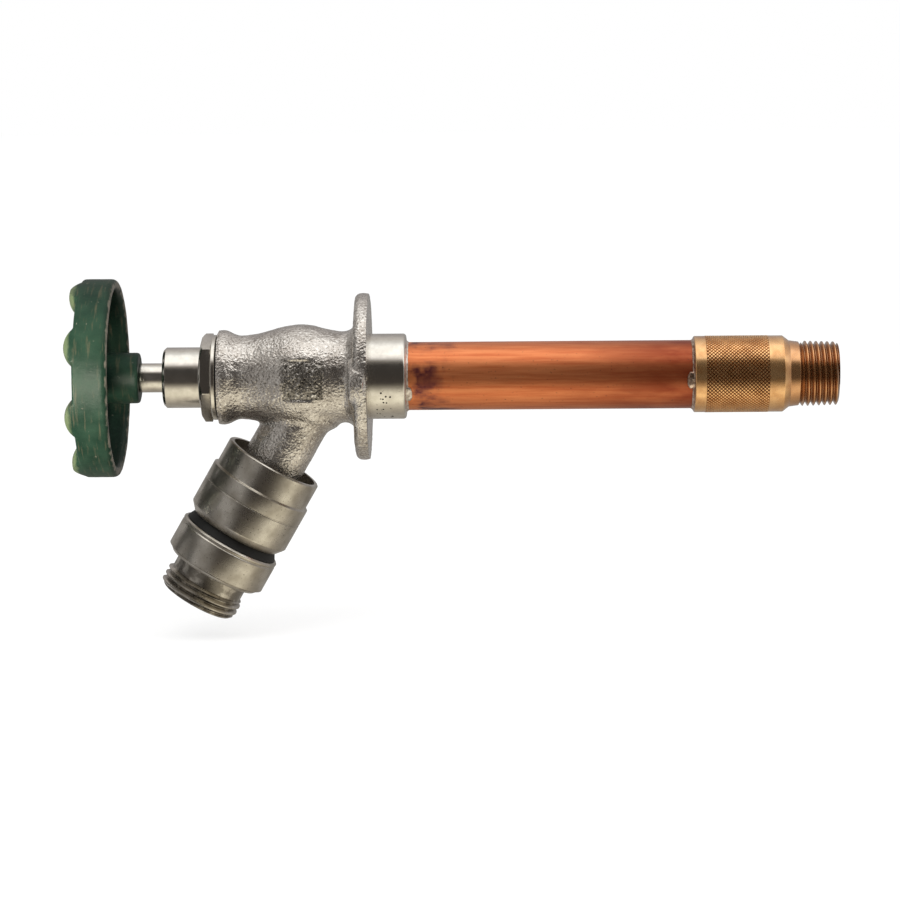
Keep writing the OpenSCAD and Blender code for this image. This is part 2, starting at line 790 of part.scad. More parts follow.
// Swivel holder: a cup for the washer, and a side slot that takes the stem's button
module washer_holder() {
    cavity_x = holder_x + throat_len;
    cavity_len = button_thick + 2 * button_gap;
    neck_w = button_neck_d + 2 * button_gap;
    cavity_w = button_d + 2 * button_gap;
    color([0.74, 0.60, 0.34])
        difference() {
            x_rod(holder_x, washer_x + holder_lip, holder_r);
            x_rod(washer_x, washer_x + holder_lip + cut, washer_d / 2 + loose);
            x_rod(holder_x - cut, cavity_x + cut, neck_w / 2);
            x_rod(cavity_x, cavity_x + cavity_len, cavity_w / 2);
            translate([holder_x - cut, -neck_w / 2, 0])
                cube([throat_len + 2 * cut, neck_w, holder_r + cut]);
            translate([cavity_x, -cavity_w / 2, 0])
                cube([cavity_len, cavity_w, holder_r + cut]);
            x_rod(washer_x - seat_screw_len - cut, washer_x + cut, seat_screw_r + loose);
        }
}

module seat_washer() {
    color([0.14, 0.14, 0.14])
        x_ring(washer_x, seat_x, washer_d / 2, seat_screw_r + loose);
}

module seat_screw() {
    color([0.76, 0.62, 0.36])
        union() {
            x_rod(washer_x - seat_screw_len, seat_x + eps, seat_screw_r);
            difference() {
                x_rod(seat_x, seat_x + seat_screw_head, seat_screw_head_d / 2);
                translate([seat_x + seat_screw_head / 2, -cut, -seat_screw_head_d])
                    cube([seat_screw_head, 2 * cut, 2 * seat_screw_head_d]);
            }
        }
}

// Upper half of the breaker: rim, band, outlet thread, first seat and chamber
module breaker_body() {
    band_t = rim_down + upper_rim_len;
    socket_r = spout_thread_d / 2 + thread_gap;
    color([0.62, 0.60, 0.56])
        on_outlet()
            difference() {
                spun([
                    [rim_down, 0], [rim_down, upper_rim_d / 2 - cut], [rim_down + cut, upper_rim_d / 2],
                    [band_t, upper_rim_d / 2], [band_t + cut, band_d / 2],
                    [lower_face_t - band_bevel, band_d / 2], [lower_face_t, lower_face_d / 2], [lower_face_t, 0]
                ]);
                z_rod(rim_down - cut, spout_thread_t - 1, upper_rim_d / 2 - rim_lip);
                z_rod(rim_down, web_t, socket_r);
                z_rod(web_t - cut, chamber_t + cut, first_seat_d / 2);
                z_rod(chamber_t, lower_face_t + cut, chamber_d / 2);
                z_rod(clip_t, clip_t + sleeve_clip_thick, chamber_d / 2 + clip_groove);
                set_screw_rod(socket_r - cut, band_d / 2 + cut, set_screw_d / 2 + loose);
            }
}

// Rod across the breaker's wall at its set screw, on the far side, between two distances from the axis
module set_screw_rod(from_r, to_r, r) {
    screw_t = (spout_thread_t + spout_end_t) / 2 + set_screw_down;
    translate([0, 0, screw_t])
        rotate([-90, 0, 0])
            translate([0, 0, from_r])
                cylinder(h = to_r - from_r, r = r);
}

module breaker_set_screw() {
    color([0.60, 0.60, 0.60])
        on_outlet()
            set_screw_rod(spout_thread_d / 2 + thread_gap, band_d / 2 - cut, set_screw_d / 2);
}

module breaker_gasket() {
    color([0.15, 0.15, 0.15])
        on_outlet()
            z_ring(spout_end_t, web_t, spout_thread_d / 2, spout_bore_d / 2);
}

// Split ring that keeps the sleeve in the breaker
module sleeve_clip() {
    color([0.55, 0.56, 0.58])
        on_outlet()
            difference() {
                z_ring(
                    clip_t, clip_t + sleeve_clip_thick,
                    chamber_d / 2 + clip_groove - loose, spigot_d / 2 + seat_gap
                );
                translate([0, -clip_slot / 2, clip_t - cut])
                    cube([chamber_d, clip_slot, sleeve_clip_thick + 2 * cut]);
            }
}

// Wave spring that pulls the sleeve back up
module drain_spring() {
    mean_r = (spigot_d / 2 + chamber_d / 2) / 2;
    color([0.70, 0.70, 0.72])
        on_outlet()
            wave_ring(stop_end_t + loose, clip_t - loose, mean_r, wave_wire_r, 3);
}

// Lower half: ring, spigot, second seat and the hose nipple
module drain_sleeve() {
    foot = 1.5;
    foot_step = 0.4;
    hose_r = hose_thread_d / 2;
    mouth_t = second_guide_t;
    color([0.62, 0.60, 0.56])
        on_outlet()
            difference() {
                spun(concat(
                    [[stop_t, 0], [stop_t, stop_d / 2], [stop_end_t, stop_d / 2], [stop_end_t, spigot_d / 2]],
                    [[ring_t, spigot_d / 2], [ring_t, ring_d / 2 - ring_bevel], [ring_t + ring_bevel, ring_d / 2]],
                    [[ring_end_t - foot, ring_d / 2], [ring_end_t - foot, ring_d / 2 - foot_step]],
                    [[ring_end_t, lower_face_d / 2], [ring_end_t, nipple_neck_d / 2]],
                    [[hose_thread_t, nipple_neck_d / 2]],
                    thread_rings(hose_thread_t, outlet_end_t, hose_r, thread_deep, hose_pitch),
                    [[outlet_end_t - 0.3, hose_r - thread_deep], [outlet_end_t, hose_r - thread_deep - 0.3]],
                    [[outlet_end_t, 0]]
                ));
                z_rod(stop_t - cut, second_web_t, sleeve_bore_d / 2);
                z_rod(second_web_t - cut, second_seat_t + cut, second_seat_d / 2);
                z_rod(second_seat_t, mouth_t + cut, sleeve_bore_d / 2);
                z_rod(mouth_t, outlet_end_t + cut, mouth_d / 2);
                z_rod(second_guide_end_t, second_guide_end_t + guide_clip_thick, mouth_d / 2 + clip_groove);
                drain_ports();
            }
}

// Small cross holes that let the chamber drain when the sleeve is down
module drain_ports() {
    ports = 4;
    port_d = 2;
    for (i = [0:ports - 1])
        rotate([0, 0, 45 + 360 / ports * i])
            translate([0, 0, clip_t + sleeve_clip_thick - port_d / 2])
                rotate([0, 90, 0])
                    cylinder(h = spigot_d, r = port_d / 2);
}

module vent_seal() {
    color([0.10, 0.10, 0.10])
        on_outlet()
            spun([
                [lower_face_t, spigot_d / 2 + loose], [lower_face_t, vent_seal_d / 2],
                [ring_t, ring_d / 2 - ring_bevel - seal_edge], [ring_t, spigot_d / 2 + loose]
            ]);
}

// A check: disc and stem, with the disc's top at t
module check(disc_t, tip_t) {
    color([0.86, 0.86, 0.82])
        on_outlet()
            union() {
                z_rod(disc_t, disc_t + check_disc_thick, check_disc_d / 2);
                z_rod(disc_t, tip_t, check_stem_d / 2);
            }
}

module check_face(seat_t) {
    color([0.13, 0.13, 0.13])
        on_outlet()
            z_rod(seat_t, seat_t + check_face_thick, check_disc_d / 2);
}

// Guide: a ring, three arms and a short tube round the check's stem
module check_guide(ring_top_t, ring_r) {
    arms = 3;
    arm_w = 1.6;
    bottom_t = ring_top_t + cage_thick;
    color([0.88, 0.88, 0.84])
        on_outlet()
            difference() {
                union() {
                    z_ring(ring_top_t, bottom_t, ring_r - loose, ring_r - guide_ring_w);
                    z_rod(bottom_t - guide_tube_len, bottom_t, guide_hub_r);
                    for (i = [0:arms - 1])
                        rotate([0, 0, 360 / arms * i])
                            translate([0, -arm_w / 2, ring_top_t])
                                cube([ring_r - guide_ring_w / 2, arm_w, cage_thick]);
                }
                z_rod(bottom_t - guide_tube_len - cut, bottom_t + cut, check_stem_d / 2 + guide_bore_gap);
            }
}

module first_check() {
    check(first_disc_t, first_tip_t);
}

module first_check_face() {
    check_face(chamber_t);
}

module first_check_guide() {
    check_guide(first_guide_t, sleeve_bore_d / 2);
}

module first_check_spring() {
    color([0.72, 0.72, 0.74])
        on_outlet()
            coil(first_stem_t + loose, first_guide_t - loose, spring_mean_r, spring_wire_r, spring_curls);
}

module second_check() {
    check(second_disc_t, second_tip_t);
}

module second_check_face() {
    check_face(second_seat_t);
}

module second_check_guide() {
    check_guide(second_guide_t, mouth_d / 2);
}

module second_check_spring() {
    color([0.72, 0.72, 0.74])
        on_outlet()
            coil(second_stem_t + loose, second_guide_t - loose, spring_mean_r, spring_wire_r, spring_curls);
}

// Split ring that holds the second guide in the nipple
module guide_clip() {
    color([0.55, 0.56, 0.58])
        on_outlet()
            difference() {
                z_ring(
                    second_guide_end_t, second_guide_end_t + guide_clip_thick,
                    mouth_d / 2 + clip_groove - loose, mouth_d / 2 - guide_ring_w
                );
                translate([0, -clip_slot / 2, second_guide_end_t - cut])
                    cube([mouth_d, clip_slot, guide_clip_thick + 2 * cut]);
            }
}

// Middle line of a coil between two levels, from the angle zero
function coil_line(t0, t1, mean_r, wire_r, curls) = [
    for (i = [0:curls * rings_per_curl])
        let (u = i / (curls * rings_per_curl), a = 360 * curls * u)
            [mean_r * cos(a), mean_r * sin(a), t0 + wire_r + (t1 - t0 - 2 * wire_r) * u]
];

// Least gap between neighbouring curls, measured between the points of the middle line
function coil_gap(line, wire_r) = min([
    for (i = [0:len(line) - 1])
        for (j = [i + rings_per_curl / 2:1:min(len(line) - 1, i + 2 * rings_per_curl)])
            norm(line[i] - line[j]) - 2 * wire_r
]);

// Points of the round wire about its middle line, which goes round the Z axis
function wire_points(line, wire_r) = [
    for (p = line)
        let (a = atan2(p[1], p[0]))
            for (k = [0:wire_sides - 1])
                let (b = 360 * k / wire_sides)
                    [p[0] + wire_r * cos(b) * cos(a), p[1] + wire_r * cos(b) * sin(a), p[2] + wire_r * sin(b)]
];

// Facets of the wire between its sections a and b
function wire_facets(a, b) = [
    for (k = [0:wire_sides - 1])
        let (n = (k + 1) % wire_sides, p = a * wire_sides, q = b * wire_sides)
            for (f = [[p + k, q + k, q + n], [p + k, q + n, p + n]])
                f
];

// One unbroken coil of round wire with closed ends
module coil(t0, t1, mean_r, wire_r, curls) {
    line = coil_line(t0, t1, mean_r, wire_r, curls);
    last = len(line) - 1;
    tail = last * wire_sides;
    sides = [for (i = [0:last - 1]) each wire_facets(i, i + 1)];
    start = [for (k = [1:wire_sides - 2]) [0, k, k + 1]];
    finish = [for (k = [1:wire_sides - 2]) [tail, tail + k + 1, tail + k]];
    echo(coil_gap = coil_gap(line, wire_r));
    polyhedron(points = wire_points(line, wire_r), faces = concat(sides, start, finish));
}

// One closed ring of round wire that waves up and down between two levels
module wave_ring(t0, t1, mean_r, wire_r, waves) {
    sections = waves * rings_per_wave;
    sway = (t1 - t0) / 2 - wire_r;
    line = [
        for (i = [0:sections - 1])
            let (a = 360 * i / sections)
                [mean_r * cos(a), mean_r * sin(a), (t0 + t1) / 2 + sway * cos(waves * a)]
    ];
    polyhedron(
        points = wire_points(line, wire_r),
        faces = [for (i = [0:sections - 1]) each wire_facets(i, (i + 1) % sections)]
    );
}

valve_body();
copper_tube();
inlet_fitting();
front_solder_ring();
rear_solder_ring();
bonnet();
bonnet_gasket();
stem_packing();
packing_washer();
packing_clip();
stem_rod();
stem_guide();
handwheel();
handle_disc();
handle_screw();
washer_holder();
seat_washer();
seat_screw();
breaker_body();
breaker_gasket();
breaker_set_screw();
sleeve_clip();
drain_spring();
drain_sleeve();
vent_seal();
first_check();
first_check_face();
first_check_spring();
first_check_guide();
second_check();
second_check_face();
second_check_spring();
second_check_guide();
guide_clip();
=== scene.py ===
"""Frost-free wall sillcock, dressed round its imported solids.

Sizes in this file are in millimetres and angles in degrees. Meshes are in metres, in the frame of the solids:
the tube runs along X with the inlet at +X, Z is up, and the origin is where the flange meets the wall.
"""

import json
import logging
import math
import time
from collections.abc import Callable, Iterator, Sequence
from contextlib import contextmanager
from dataclasses import dataclass
from enum import Enum
from functools import reduce
from itertools import pairwise

import bpy
from mathutils import Matrix, Vector


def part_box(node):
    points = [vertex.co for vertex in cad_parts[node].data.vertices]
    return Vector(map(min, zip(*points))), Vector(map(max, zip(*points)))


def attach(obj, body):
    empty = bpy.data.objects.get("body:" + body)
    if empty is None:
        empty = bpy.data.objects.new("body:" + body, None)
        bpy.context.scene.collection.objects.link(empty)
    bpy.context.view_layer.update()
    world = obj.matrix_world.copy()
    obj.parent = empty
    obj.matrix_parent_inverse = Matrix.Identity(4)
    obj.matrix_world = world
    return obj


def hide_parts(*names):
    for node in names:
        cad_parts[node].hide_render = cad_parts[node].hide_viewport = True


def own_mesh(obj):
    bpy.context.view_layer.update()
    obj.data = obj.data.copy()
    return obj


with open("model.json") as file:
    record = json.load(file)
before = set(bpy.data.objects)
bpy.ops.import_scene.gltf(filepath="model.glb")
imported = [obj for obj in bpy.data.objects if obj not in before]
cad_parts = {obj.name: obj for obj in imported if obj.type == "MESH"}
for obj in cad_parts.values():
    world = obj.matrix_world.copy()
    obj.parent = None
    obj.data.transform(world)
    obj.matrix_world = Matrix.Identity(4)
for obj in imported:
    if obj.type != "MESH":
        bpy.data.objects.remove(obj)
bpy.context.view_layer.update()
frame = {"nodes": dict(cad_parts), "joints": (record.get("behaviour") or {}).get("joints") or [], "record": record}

MM = 0.001
# Points closer than this are merged, in metres
WELD = 1e-6
# Facets round a lathe piece that is hidden, and round one that shows
HIDDEN_STEPS = 64
SHOWN_STEPS = 160
# Millimetres by which the breaker's rubber shows below its solid
RUBBER_SKIRT = 1.2
# Gap round the copper tube in its sockets, and round a spring clip in its groove
TUBE_GAP = 0.08
CLIP_GAP = 0.05
# Gap round a screw in its hole
SCREW_GAP = 0.05
# Depth and pitch of the hose thread, on the outlet and on the nipple
HOSE_DEEP = 1.15
HOSE_PITCH = 2.209
# Width of the stem's square, and how deep the wheel's screw goes into it
SQUARE_AF = 6.6
SCREW_GRIP = 9.0

log = logging.getLogger("sillcock")

Piece = bpy.types.Object
Point = tuple[float, float]
Colour = tuple[float, float, float]


class Body(Enum):
    """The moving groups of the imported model."""

    FIXED = "body"
    WHEEL = "stem_and_wheel"
    SLEEVE = "drain_sleeve"


class Slot(Enum):
    """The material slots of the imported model's record."""

    CAST = "cast_nickel"
    POLISHED = "polished_nickel"
    SATIN = "satin_nickel"
    COPPER = "copper"
    BRASS = "brass"
    SOLDER = "solder"
    BRAZE = "braze"
    PAINT = "green_paint"
    DISC = "bright_disc"
    STEEL = "steel"
    RUBBER = "black_rubber"
    PLASTIC = "white_plastic"


class Cut(Enum):
    """What one solid does to another."""

    JOIN = "UNION"
    REMOVE = "DIFFERENCE"
    KEEP = "INTERSECT"


@dataclass(frozen=True)
class Axis:
    """A turning axis: a point on it, the way it runs, and the side on which outlines are drawn."""

    origin: Vector
    along: Vector
    side: Vector

    def matrix(self) -> Matrix:
        """Turns Z onto this axis and X onto its side, in metres."""
        third = self.along.cross(self.side)
        turn = Matrix((self.side, third, self.along)).transposed().to_4x4()
        return Matrix.Translation(self.origin * MM) @ turn

    def at(self, place: float) -> Vector:
        """The point this far along the axis."""
        return self.origin + self.along * place

    def span(self, node: str) -> "Span":
        """Where a CAD node starts and ends along this axis, and how far it reaches from it.

        Args:
            node: the node's name.

        Returns:
            The span in millimetres.
        """
        places, reach = [], 0.0
        for vertex in frame["nodes"][node].data.vertices:
            offset = vertex.co / MM - self.origin
            place = offset.dot(self.along)
            places.append(place)
            reach = max(reach, (offset - self.along * place).length)
        return Span(min(places), max(places), reach)


@dataclass(frozen=True)
class Span:
    """A stretch along an axis with a largest radius, in millimetres."""

    start: float
    end: float
    radius: float


TUBE_AXIS = Axis(Vector(), Vector((1, 0, 0)), Vector((0, 0, 1)))


def outlet_axis() -> Axis:
    """The axis of the slanted outlet: the way the sleeve slides, through the breaker's gasket."""
    joint = next(j for j in frame["joints"] if j["name"] == "drain_pull")
    along = Vector(joint["axis"]).normalized()
    low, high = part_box("breaker_gasket")
    centre = (Vector(low) + Vector(high)) / 2 / MM
    return Axis(centre - along * (centre.z / along.z), along, Vector((-along.z, 0, along.x)))


OUTLET_AXIS = outlet_axis()


def arc(place: float, radius: float, size: float, start: float, end: float, steps: int = 6) -> list[Point]:
    """Points of an arc in (place, radius).

    Args:
        place: the arc's centre along the axis.
        radius: the centre's distance from the axis.
        size: the arc's own radius.
        start: first angle, from the way the axis runs.
        end: last angle.
        steps: how many chords it has.

    Returns:
        The points in order.
    """
    angles = [math.radians(start + (end - start) * i / steps) for i in range(steps + 1)]
    return [(place + size * math.cos(a), radius + size * math.sin(a)) for a in angles]


def swell(x0: float, r0: float, x1: float, r1: float, steps: int = 10) -> list[Point]:
    """Points of a smooth swell between two radii, level at both ends."""
    shares = [i / steps for i in range(steps + 1)]
    return [(x0 + (x1 - x0) * u, r0 + (r1 - r0) * (1 - math.cos(math.pi * u)) / 2) for u in shares]


def eased(corners: Sequence[tuple[float, ...]], steps: int = 4) -> list[Point]:
    """Rounds the corners of an outline.

    Args:
        corners: (place, radius) or (place, radius, size of the rounding) in order.
        steps: chords in each rounding.

    Returns:
        The outline's points.
    """
    points: list[Point] = []
    last = len(corners) - 1
    for i, corner in enumerate(corners):
        here = Vector(corner[:2])
        if len(corner) < 3 or i in (0, last):
            points.append(tuple(here))
            continue
        back = Vector(corners[i - 1][:2]) - here
        on = Vector(corners[i + 1][:2]) - here
        half = back.angle(on) / 2
        reach = min(corner[2] / math.tan(half), 0.49 * back.length, 0.49 * on.length)
        size = reach * math.tan(half)
        centre = here + (back.normalized() + on.normalized()).normalized() * (size / math.sin(half))
        start = here + back.normalized() * reach - centre
        end = here + on.normalized() * reach - centre
        sweep = start.angle_signed(end)
        for k in range(steps + 1):
            turned = start.copy()
            turned.rotate(Matrix.Rotation(-sweep * k / steps, 2))
            points.append(tuple(centre + turned))
    return points


def select_none() -> None:
    """Deselects every object."""
    bpy.ops.object.select_all(action="DESELECT")


def take(piece: Piece) -> None:
    """Makes one object the only selected and active one."""
    select_none()
    piece.select_set(True)
    bpy.context.view_layer.objects.active = piece


@contextmanager
def editing(piece: Piece, mode: str = "VERT", everything: bool = True) -> Iterator[None]:
    """Edit mode on one object.

    Args:
        piece: the object.
        mode: VERT, EDGE or FACE.
        everything: whether all of it is selected at the start.
    """
    take(piece)
    bpy.ops.object.mode_set(mode="EDIT")
    bpy.ops.mesh.select_mode(type=mode)
    if everything:
        bpy.ops.mesh.select_all(action="SELECT")
    yield
    bpy.ops.object.mode_set(mode="OBJECT")


def pick_faces(piece: Piece, wanted: Callable[[Vector, Vector], bool]) -> None:
    """Selects faces by their centre and normal.

    Args:
        piece: the object.
        wanted: says yes to a face's centre in millimetres and its normal.
    """
    for item in (*piece.data.vertices, *piece.data.edges):
        item.select = False
    for face in piece.data.polygons:
        face.select = wanted(face.center / MM, face.normal)


def settle(piece: Piece, axis: Axis | None = None) -> Piece:
    """Puts a piece's place into its mesh, first moved onto an axis if one is given."""
    if axis:
        piece.matrix_world = axis.matrix()
    take(piece)
    bpy.ops.object.transform_apply(location=True, rotation=True, scale=True)
    return piece


def weld(piece: Piece) -> None:
    """Merges doubled points and turns all faces outwards."""
    with editing(piece):
        bpy.ops.mesh.remove_doubles(threshold=WELD)
        bpy.ops.mesh.normals_make_consistent(inside=False)


def drawn(name: str, outline: Sequence[Point]) -> Piece:
    """Draws an outline as a chain of edges in the XZ plane.

    Args:
        name: the new object's name.
        outline: (place, radius) points in millimetres, Z being the place and X the radius.

    Returns:
        The object, in edit terms a chain from the first point to the last.
    """
    points = [Vector((r, 0, x)) * MM for x, r in outline]
    select_none()
    bpy.ops.mesh.primitive_plane_add(size=MM, location=(0, 0, 0))
    piece = bpy.context.active_object
    piece.name = name
    with editing(piece):
        bpy.ops.mesh.merge(type="CENTER")
        bpy.ops.transform.translate(value=points[0])
        for here, there in pairwise(points):
            bpy.ops.mesh.extrude_vertices_move(TRANSFORM_OT_translate={"value": there - here})
    return piece


def turned(name: str, axis: Axis, outline: Sequence[Point], steps: int = HIDDEN_STEPS) -> Piece:
    """A lathe piece: an outline spun once round an axis.

    Args:
        name: the piece's name.
        axis: the axis it is turned on.
        outline: (place, radius) points; it ends on the axis or where it began.
        steps: facets round the axis.

    Returns:
        The closed solid, in place.
    """
    piece = drawn(name, outline)
    with editing(piece):
        bpy.ops.mesh.spin(steps=steps, angle=math.tau, center=(0, 0, 0), axis=(0, 0, 1))
    settle(piece, axis)
    weld(piece)
    return piece


def rod(
    name: str, axis: Axis, near: float, far: float, radius: float, steps: int = HIDDEN_STEPS,
) -> Piece:
    """A plain round rod on an axis, from one place to another, as a tool."""
    return turned(name, axis, [(near, 0), (near, radius), (far, radius), (far, 0)], steps)


def block(middle: Vector, size: Vector) -> Piece:
    """A block of a size round a point, in millimetres, as a tool or a blank."""
    select_none()
    bpy.ops.mesh.primitive_cube_add(size=1, location=middle * MM)
    piece = bpy.context.active_object
    piece.dimensions = size * MM
    return settle(piece)


def hexagon_blank(corner: float, thick: float, place: float, turn: float = 0) -> Piece:
    """A hexagonal blank on local Z.

    Args:
        corner: half its width across the corners.
        thick: its length.
        place: where its middle is.
        turn: how far it is turned, clockwise.

    Returns:
        The blank, not yet moved onto an axis.
    """
    select_none()
    bpy.ops.mesh.primitive_cylinder_add(vertices=6, radius=corner * MM, depth=thick * MM)
    piece = bpy.context.active_object
    with editing(piece):
        bpy.ops.transform.rotate(value=-math.radians(turn), orient_axis="Z", center_override=(0, 0, 0))
        bpy.ops.transform.translate(value=(0, 0, place * MM))
    return piece


def clip_groove(clip: Span, near: float, far: float) -> list[Point]:
    """Outline of a spring clip's groove, from its far side back to its near side.

    Args:
        clip: the clip's own span.
        near: the wall's radius after the groove.
        far: the wall's radius before it.

    Returns:
        Four corners.
    """
    floor = clip.radius + CLIP_GAP
    return [(clip.end, far), (clip.end, floor), (clip.start, floor), (clip.start, near)]


def apply_modifier(piece: Piece, kind: str, **settings: object) -> None:
    """Adds one modifier and applies it.

    Args:
        piece: the object.
        kind: the modifier's type.
        settings: its settings.
    """
    take(piece)
    modifier = piece.modifiers.new(kind.title(), kind)
    for key, value in settings.items():
        setattr(modifier, key, value)
    bpy.ops.object.modifier_apply(modifier=modifier.name)


def combine(piece: Piece, tool: Piece, cut: Cut) -> Piece:
    """Joins, cuts or trims a solid with another, which is used up."""
    apply_modifier(piece, "BOOLEAN", object=tool, operation=cut.value, solver="MANIFOLD")
    bpy.data.objects.remove(tool)
    return piece


def ease_edges(piece: Piece, width: float, angle: float = 35, segments: int = 2) -> None:
    """Bevels every edge that is sharper than an angle."""
    weld(piece)
    apply_modifier(
        piece, "BEVEL", width=width * MM, segments=segments, limit_method="ANGLE",
        angle_limit=math.radians(angle), use_clamp_overlap=True,
    )


def melt(pieces: Sequence[Piece], name: str, voxel: float, smoothing: int) -> Piece:
    """Melts overlapping solids into one soft-cornered casting.

    Args:
        pieces: the solids.
        name: the casting's name.
        voxel: grain of the new surface.
        smoothing: rounds of smoothing.

    Returns:
        The one solid.
    """
    select_none()
    for piece in pieces:
        piece.select_set(True)
    bpy.context.view_layer.objects.active = pieces[0]
    bpy.ops.object.join()
    casting = bpy.context.active_object
    casting.name = name
    apply_modifier(casting, "REMESH", mode="VOXEL", voxel_size=voxel * MM)
    apply_modifier(casting, "SMOOTH", factor=0.5, iterations=smoothing)
    return casting


def roughen(piece: Piece, name: str, grain: float, height: float, depth: int = 2) -> None:
    """Moves a surface in and out by cloud noise.

    Args:
        piece: the object.
        name: name of the noise.
        grain: size of its lumps.
        height: full height from lowest to highest.
        depth: how many finer layers it has.
    """
    noise = bpy.data.textures.new(name, "CLOUDS")
    noise.noise_scale = grain * MM
    noise.noise_depth = depth
    apply_modifier(
        piece, "DISPLACE", texture=noise, texture_coords="LOCAL", strength=height * MM, mid_level=0.5,
    )


def cut_flat(piece: Piece, point: Vector, normal: Vector) -> None:
    """Cuts off what lies beyond a plane and closes the cut."""
    with editing(piece):
        bpy.ops.mesh.bisect(plane_co=point * MM, plane_no=normal, use_fill=True, clear_outer=True)


def smooth(piece: Piece, angle: float = 32) -> None:
    """Shades a piece smooth up to an angle between faces."""
    take(piece)
    bpy.ops.object.shade_smooth_by_angle(angle=math.radians(angle))


@dataclass(frozen=True)
class Thread:
    """A right-handed screw thread on an axis, as a helical ridge.

    The crest's radius is given at the start, and falls along the thread by taper.
    """

    axis: Axis
    start: float
    end: float
    crest: float
    deep: float
    pitch: float
    taper: float = 0.0
    crest_share: float = 0.16
    base_share: float = 0.93
    steps: int = 72
    sink: float = 0.4

    def ridge(self, name: str) -> Piece:
        """The helix itself, longer than the thread at both ends, closed at its ends."""
        base, top = self.base_share * self.pitch / 2, self.crest_share * self.pitch / 2
        root = self.crest - self.deep
        outline = [
            (-base, root - self.sink), (-base, root), (-top, self.crest), (top, self.crest),
            (base, root), (base, root - self.sink), (-base, root - self.sink),
        ]
        piece = drawn(name, outline)
        with editing(piece):
            bpy.ops.mesh.remove_doubles(threshold=WELD)
        turns = math.ceil((self.end - self.start) / self.pitch) + 2
        apply_modifier(
            piece, "SCREW", angle=math.tau * turns, screw_offset=self.pitch * MM * turns,
            steps=self.steps * turns, render_steps=self.steps * turns, use_smooth_shade=False,
        )
        with editing(piece):
            bpy.ops.mesh.fill_holes(sides=0)
            bpy.ops.transform.translate(value=(0, 0, (self.start - self.pitch) * MM))
        self.lean(piece)
        settle(piece, self.axis)
        weld(piece)
        return piece

    def lean(self, piece: Piece) -> None:
        """Narrows the helix along the thread, for a taper."""
        for vertex in piece.data.vertices if self.taper else ():
            radius = math.hypot(vertex.co.x, vertex.co.y)
            share = 1 - self.taper * (vertex.co.z - self.start * MM) / radius
            vertex.co.x *= share
            vertex.co.y *= share

    def radius(self, place: float, depth: float = 0) -> float:
        """The crest's radius at a place, less a depth."""
        return self.crest - depth - self.taper * (place - self.start)

    def put_on(self, core: Piece, lead_in: float) -> Piece:
        """Cuts the ridge to length, with a chamfer at its far end, and joins it to a core."""
        clear = 0.3
        near, far = self.radius(self.start, self.deep), self.radius(self.end)
        envelope = turned("envelope", self.axis, [
            (self.start, 0), (self.start, near), (self.start + self.deep, self.radius(self.start, -clear)),
            (self.end - lead_in, far + clear), (self.end, far + clear - lead_in - clear), (self.end, 0),
        ])
        ridge = combine(self.ridge("ridge"), envelope, Cut.KEEP)
        return combine(core, ridge, Cut.JOIN)


class Nodes:
    """A node tree while it is put together."""

    def __init__(self, tree: bpy.types.NodeTree) -> None:
        """Takes the tree."""
        self.tree = tree

    def node(self, kind: str, **inputs: object) -> bpy.types.Node:
        """Adds a node. An input is a value or another node's socket; names start with a capital."""
        made = self.tree.nodes.new(kind)
        for key, value in inputs.items():
            if key[0].islower():
                setattr(made, key, value)
        for key, value in inputs.items():
            if not key[0].islower():
                self.feed(made.inputs[key.replace("_", " ")], value)
        return made

    def feed(self, socket: bpy.types.NodeSocket, value: object) -> None:
        """Links a socket or sets its value."""
        if isinstance(value, bpy.types.NodeSocket):
            self.tree.links.new(value, socket)
        elif isinstance(value, tuple) and len(value) == 3 and socket.type == "RGBA":
            socket.default_value = (*value, 1)
        else:
            socket.default_value = value

    def join(self, kind: str, *values: object, **settings: object) -> bpy.types.Node:
        """Adds a node and feeds its first inputs in order."""
        made = self.node(kind, **settings)
        for socket, value in zip(made.inputs, values):
            self.feed(socket, value)
        return made

    def ramp(self, value: object, stops: Sequence[tuple[float, Colour]]) -> object:
        """A colour that runs through stops."""
        made = self.node("ShaderNodeValToRGB", Fac=value)
        elements = made.color_ramp.elements
        while len(elements) < len(stops):
            elements.new(0.5)
        for element, (position, colour) in zip(elements, stops):
            element.position = position
            element.color = (*colour, 1)
        return made.outputs["Color"]

    def spread(self, value: object, low: float, high: float, to_low: float = 0, to_high: float = 1) -> object:
        """Maps a value from one range onto another, held at the ends."""
        made = self.node("ShaderNodeMapRange", clamp=True, Value=value)
        for key, number in (("From Min", low), ("From Max", high), ("To Min", to_low), ("To Max", to_high)):
            made.inputs[key].default_value = number
        return made.outputs["Result"]

    def maths(self, operation: str, first: object, second: object = 0.0) -> object:
        """One sum on two values."""
        return self.join("ShaderNodeMath", first, second, operation=operation).outputs[0]

    def times(self, *values: object) -> object:
        """The product of values."""
        return reduce(lambda first, second: self.maths("MULTIPLY", first, second), values)

    def blend(self, share: object, first: object, second: object) -> object:
        """A colour between two."""
        made = self.node("ShaderNodeMix", data_type="RGBA")
        for number, value in ((0, share), (6, first), (7, second)):
            self.feed(made.inputs[number], value)
        return made.outputs[2]


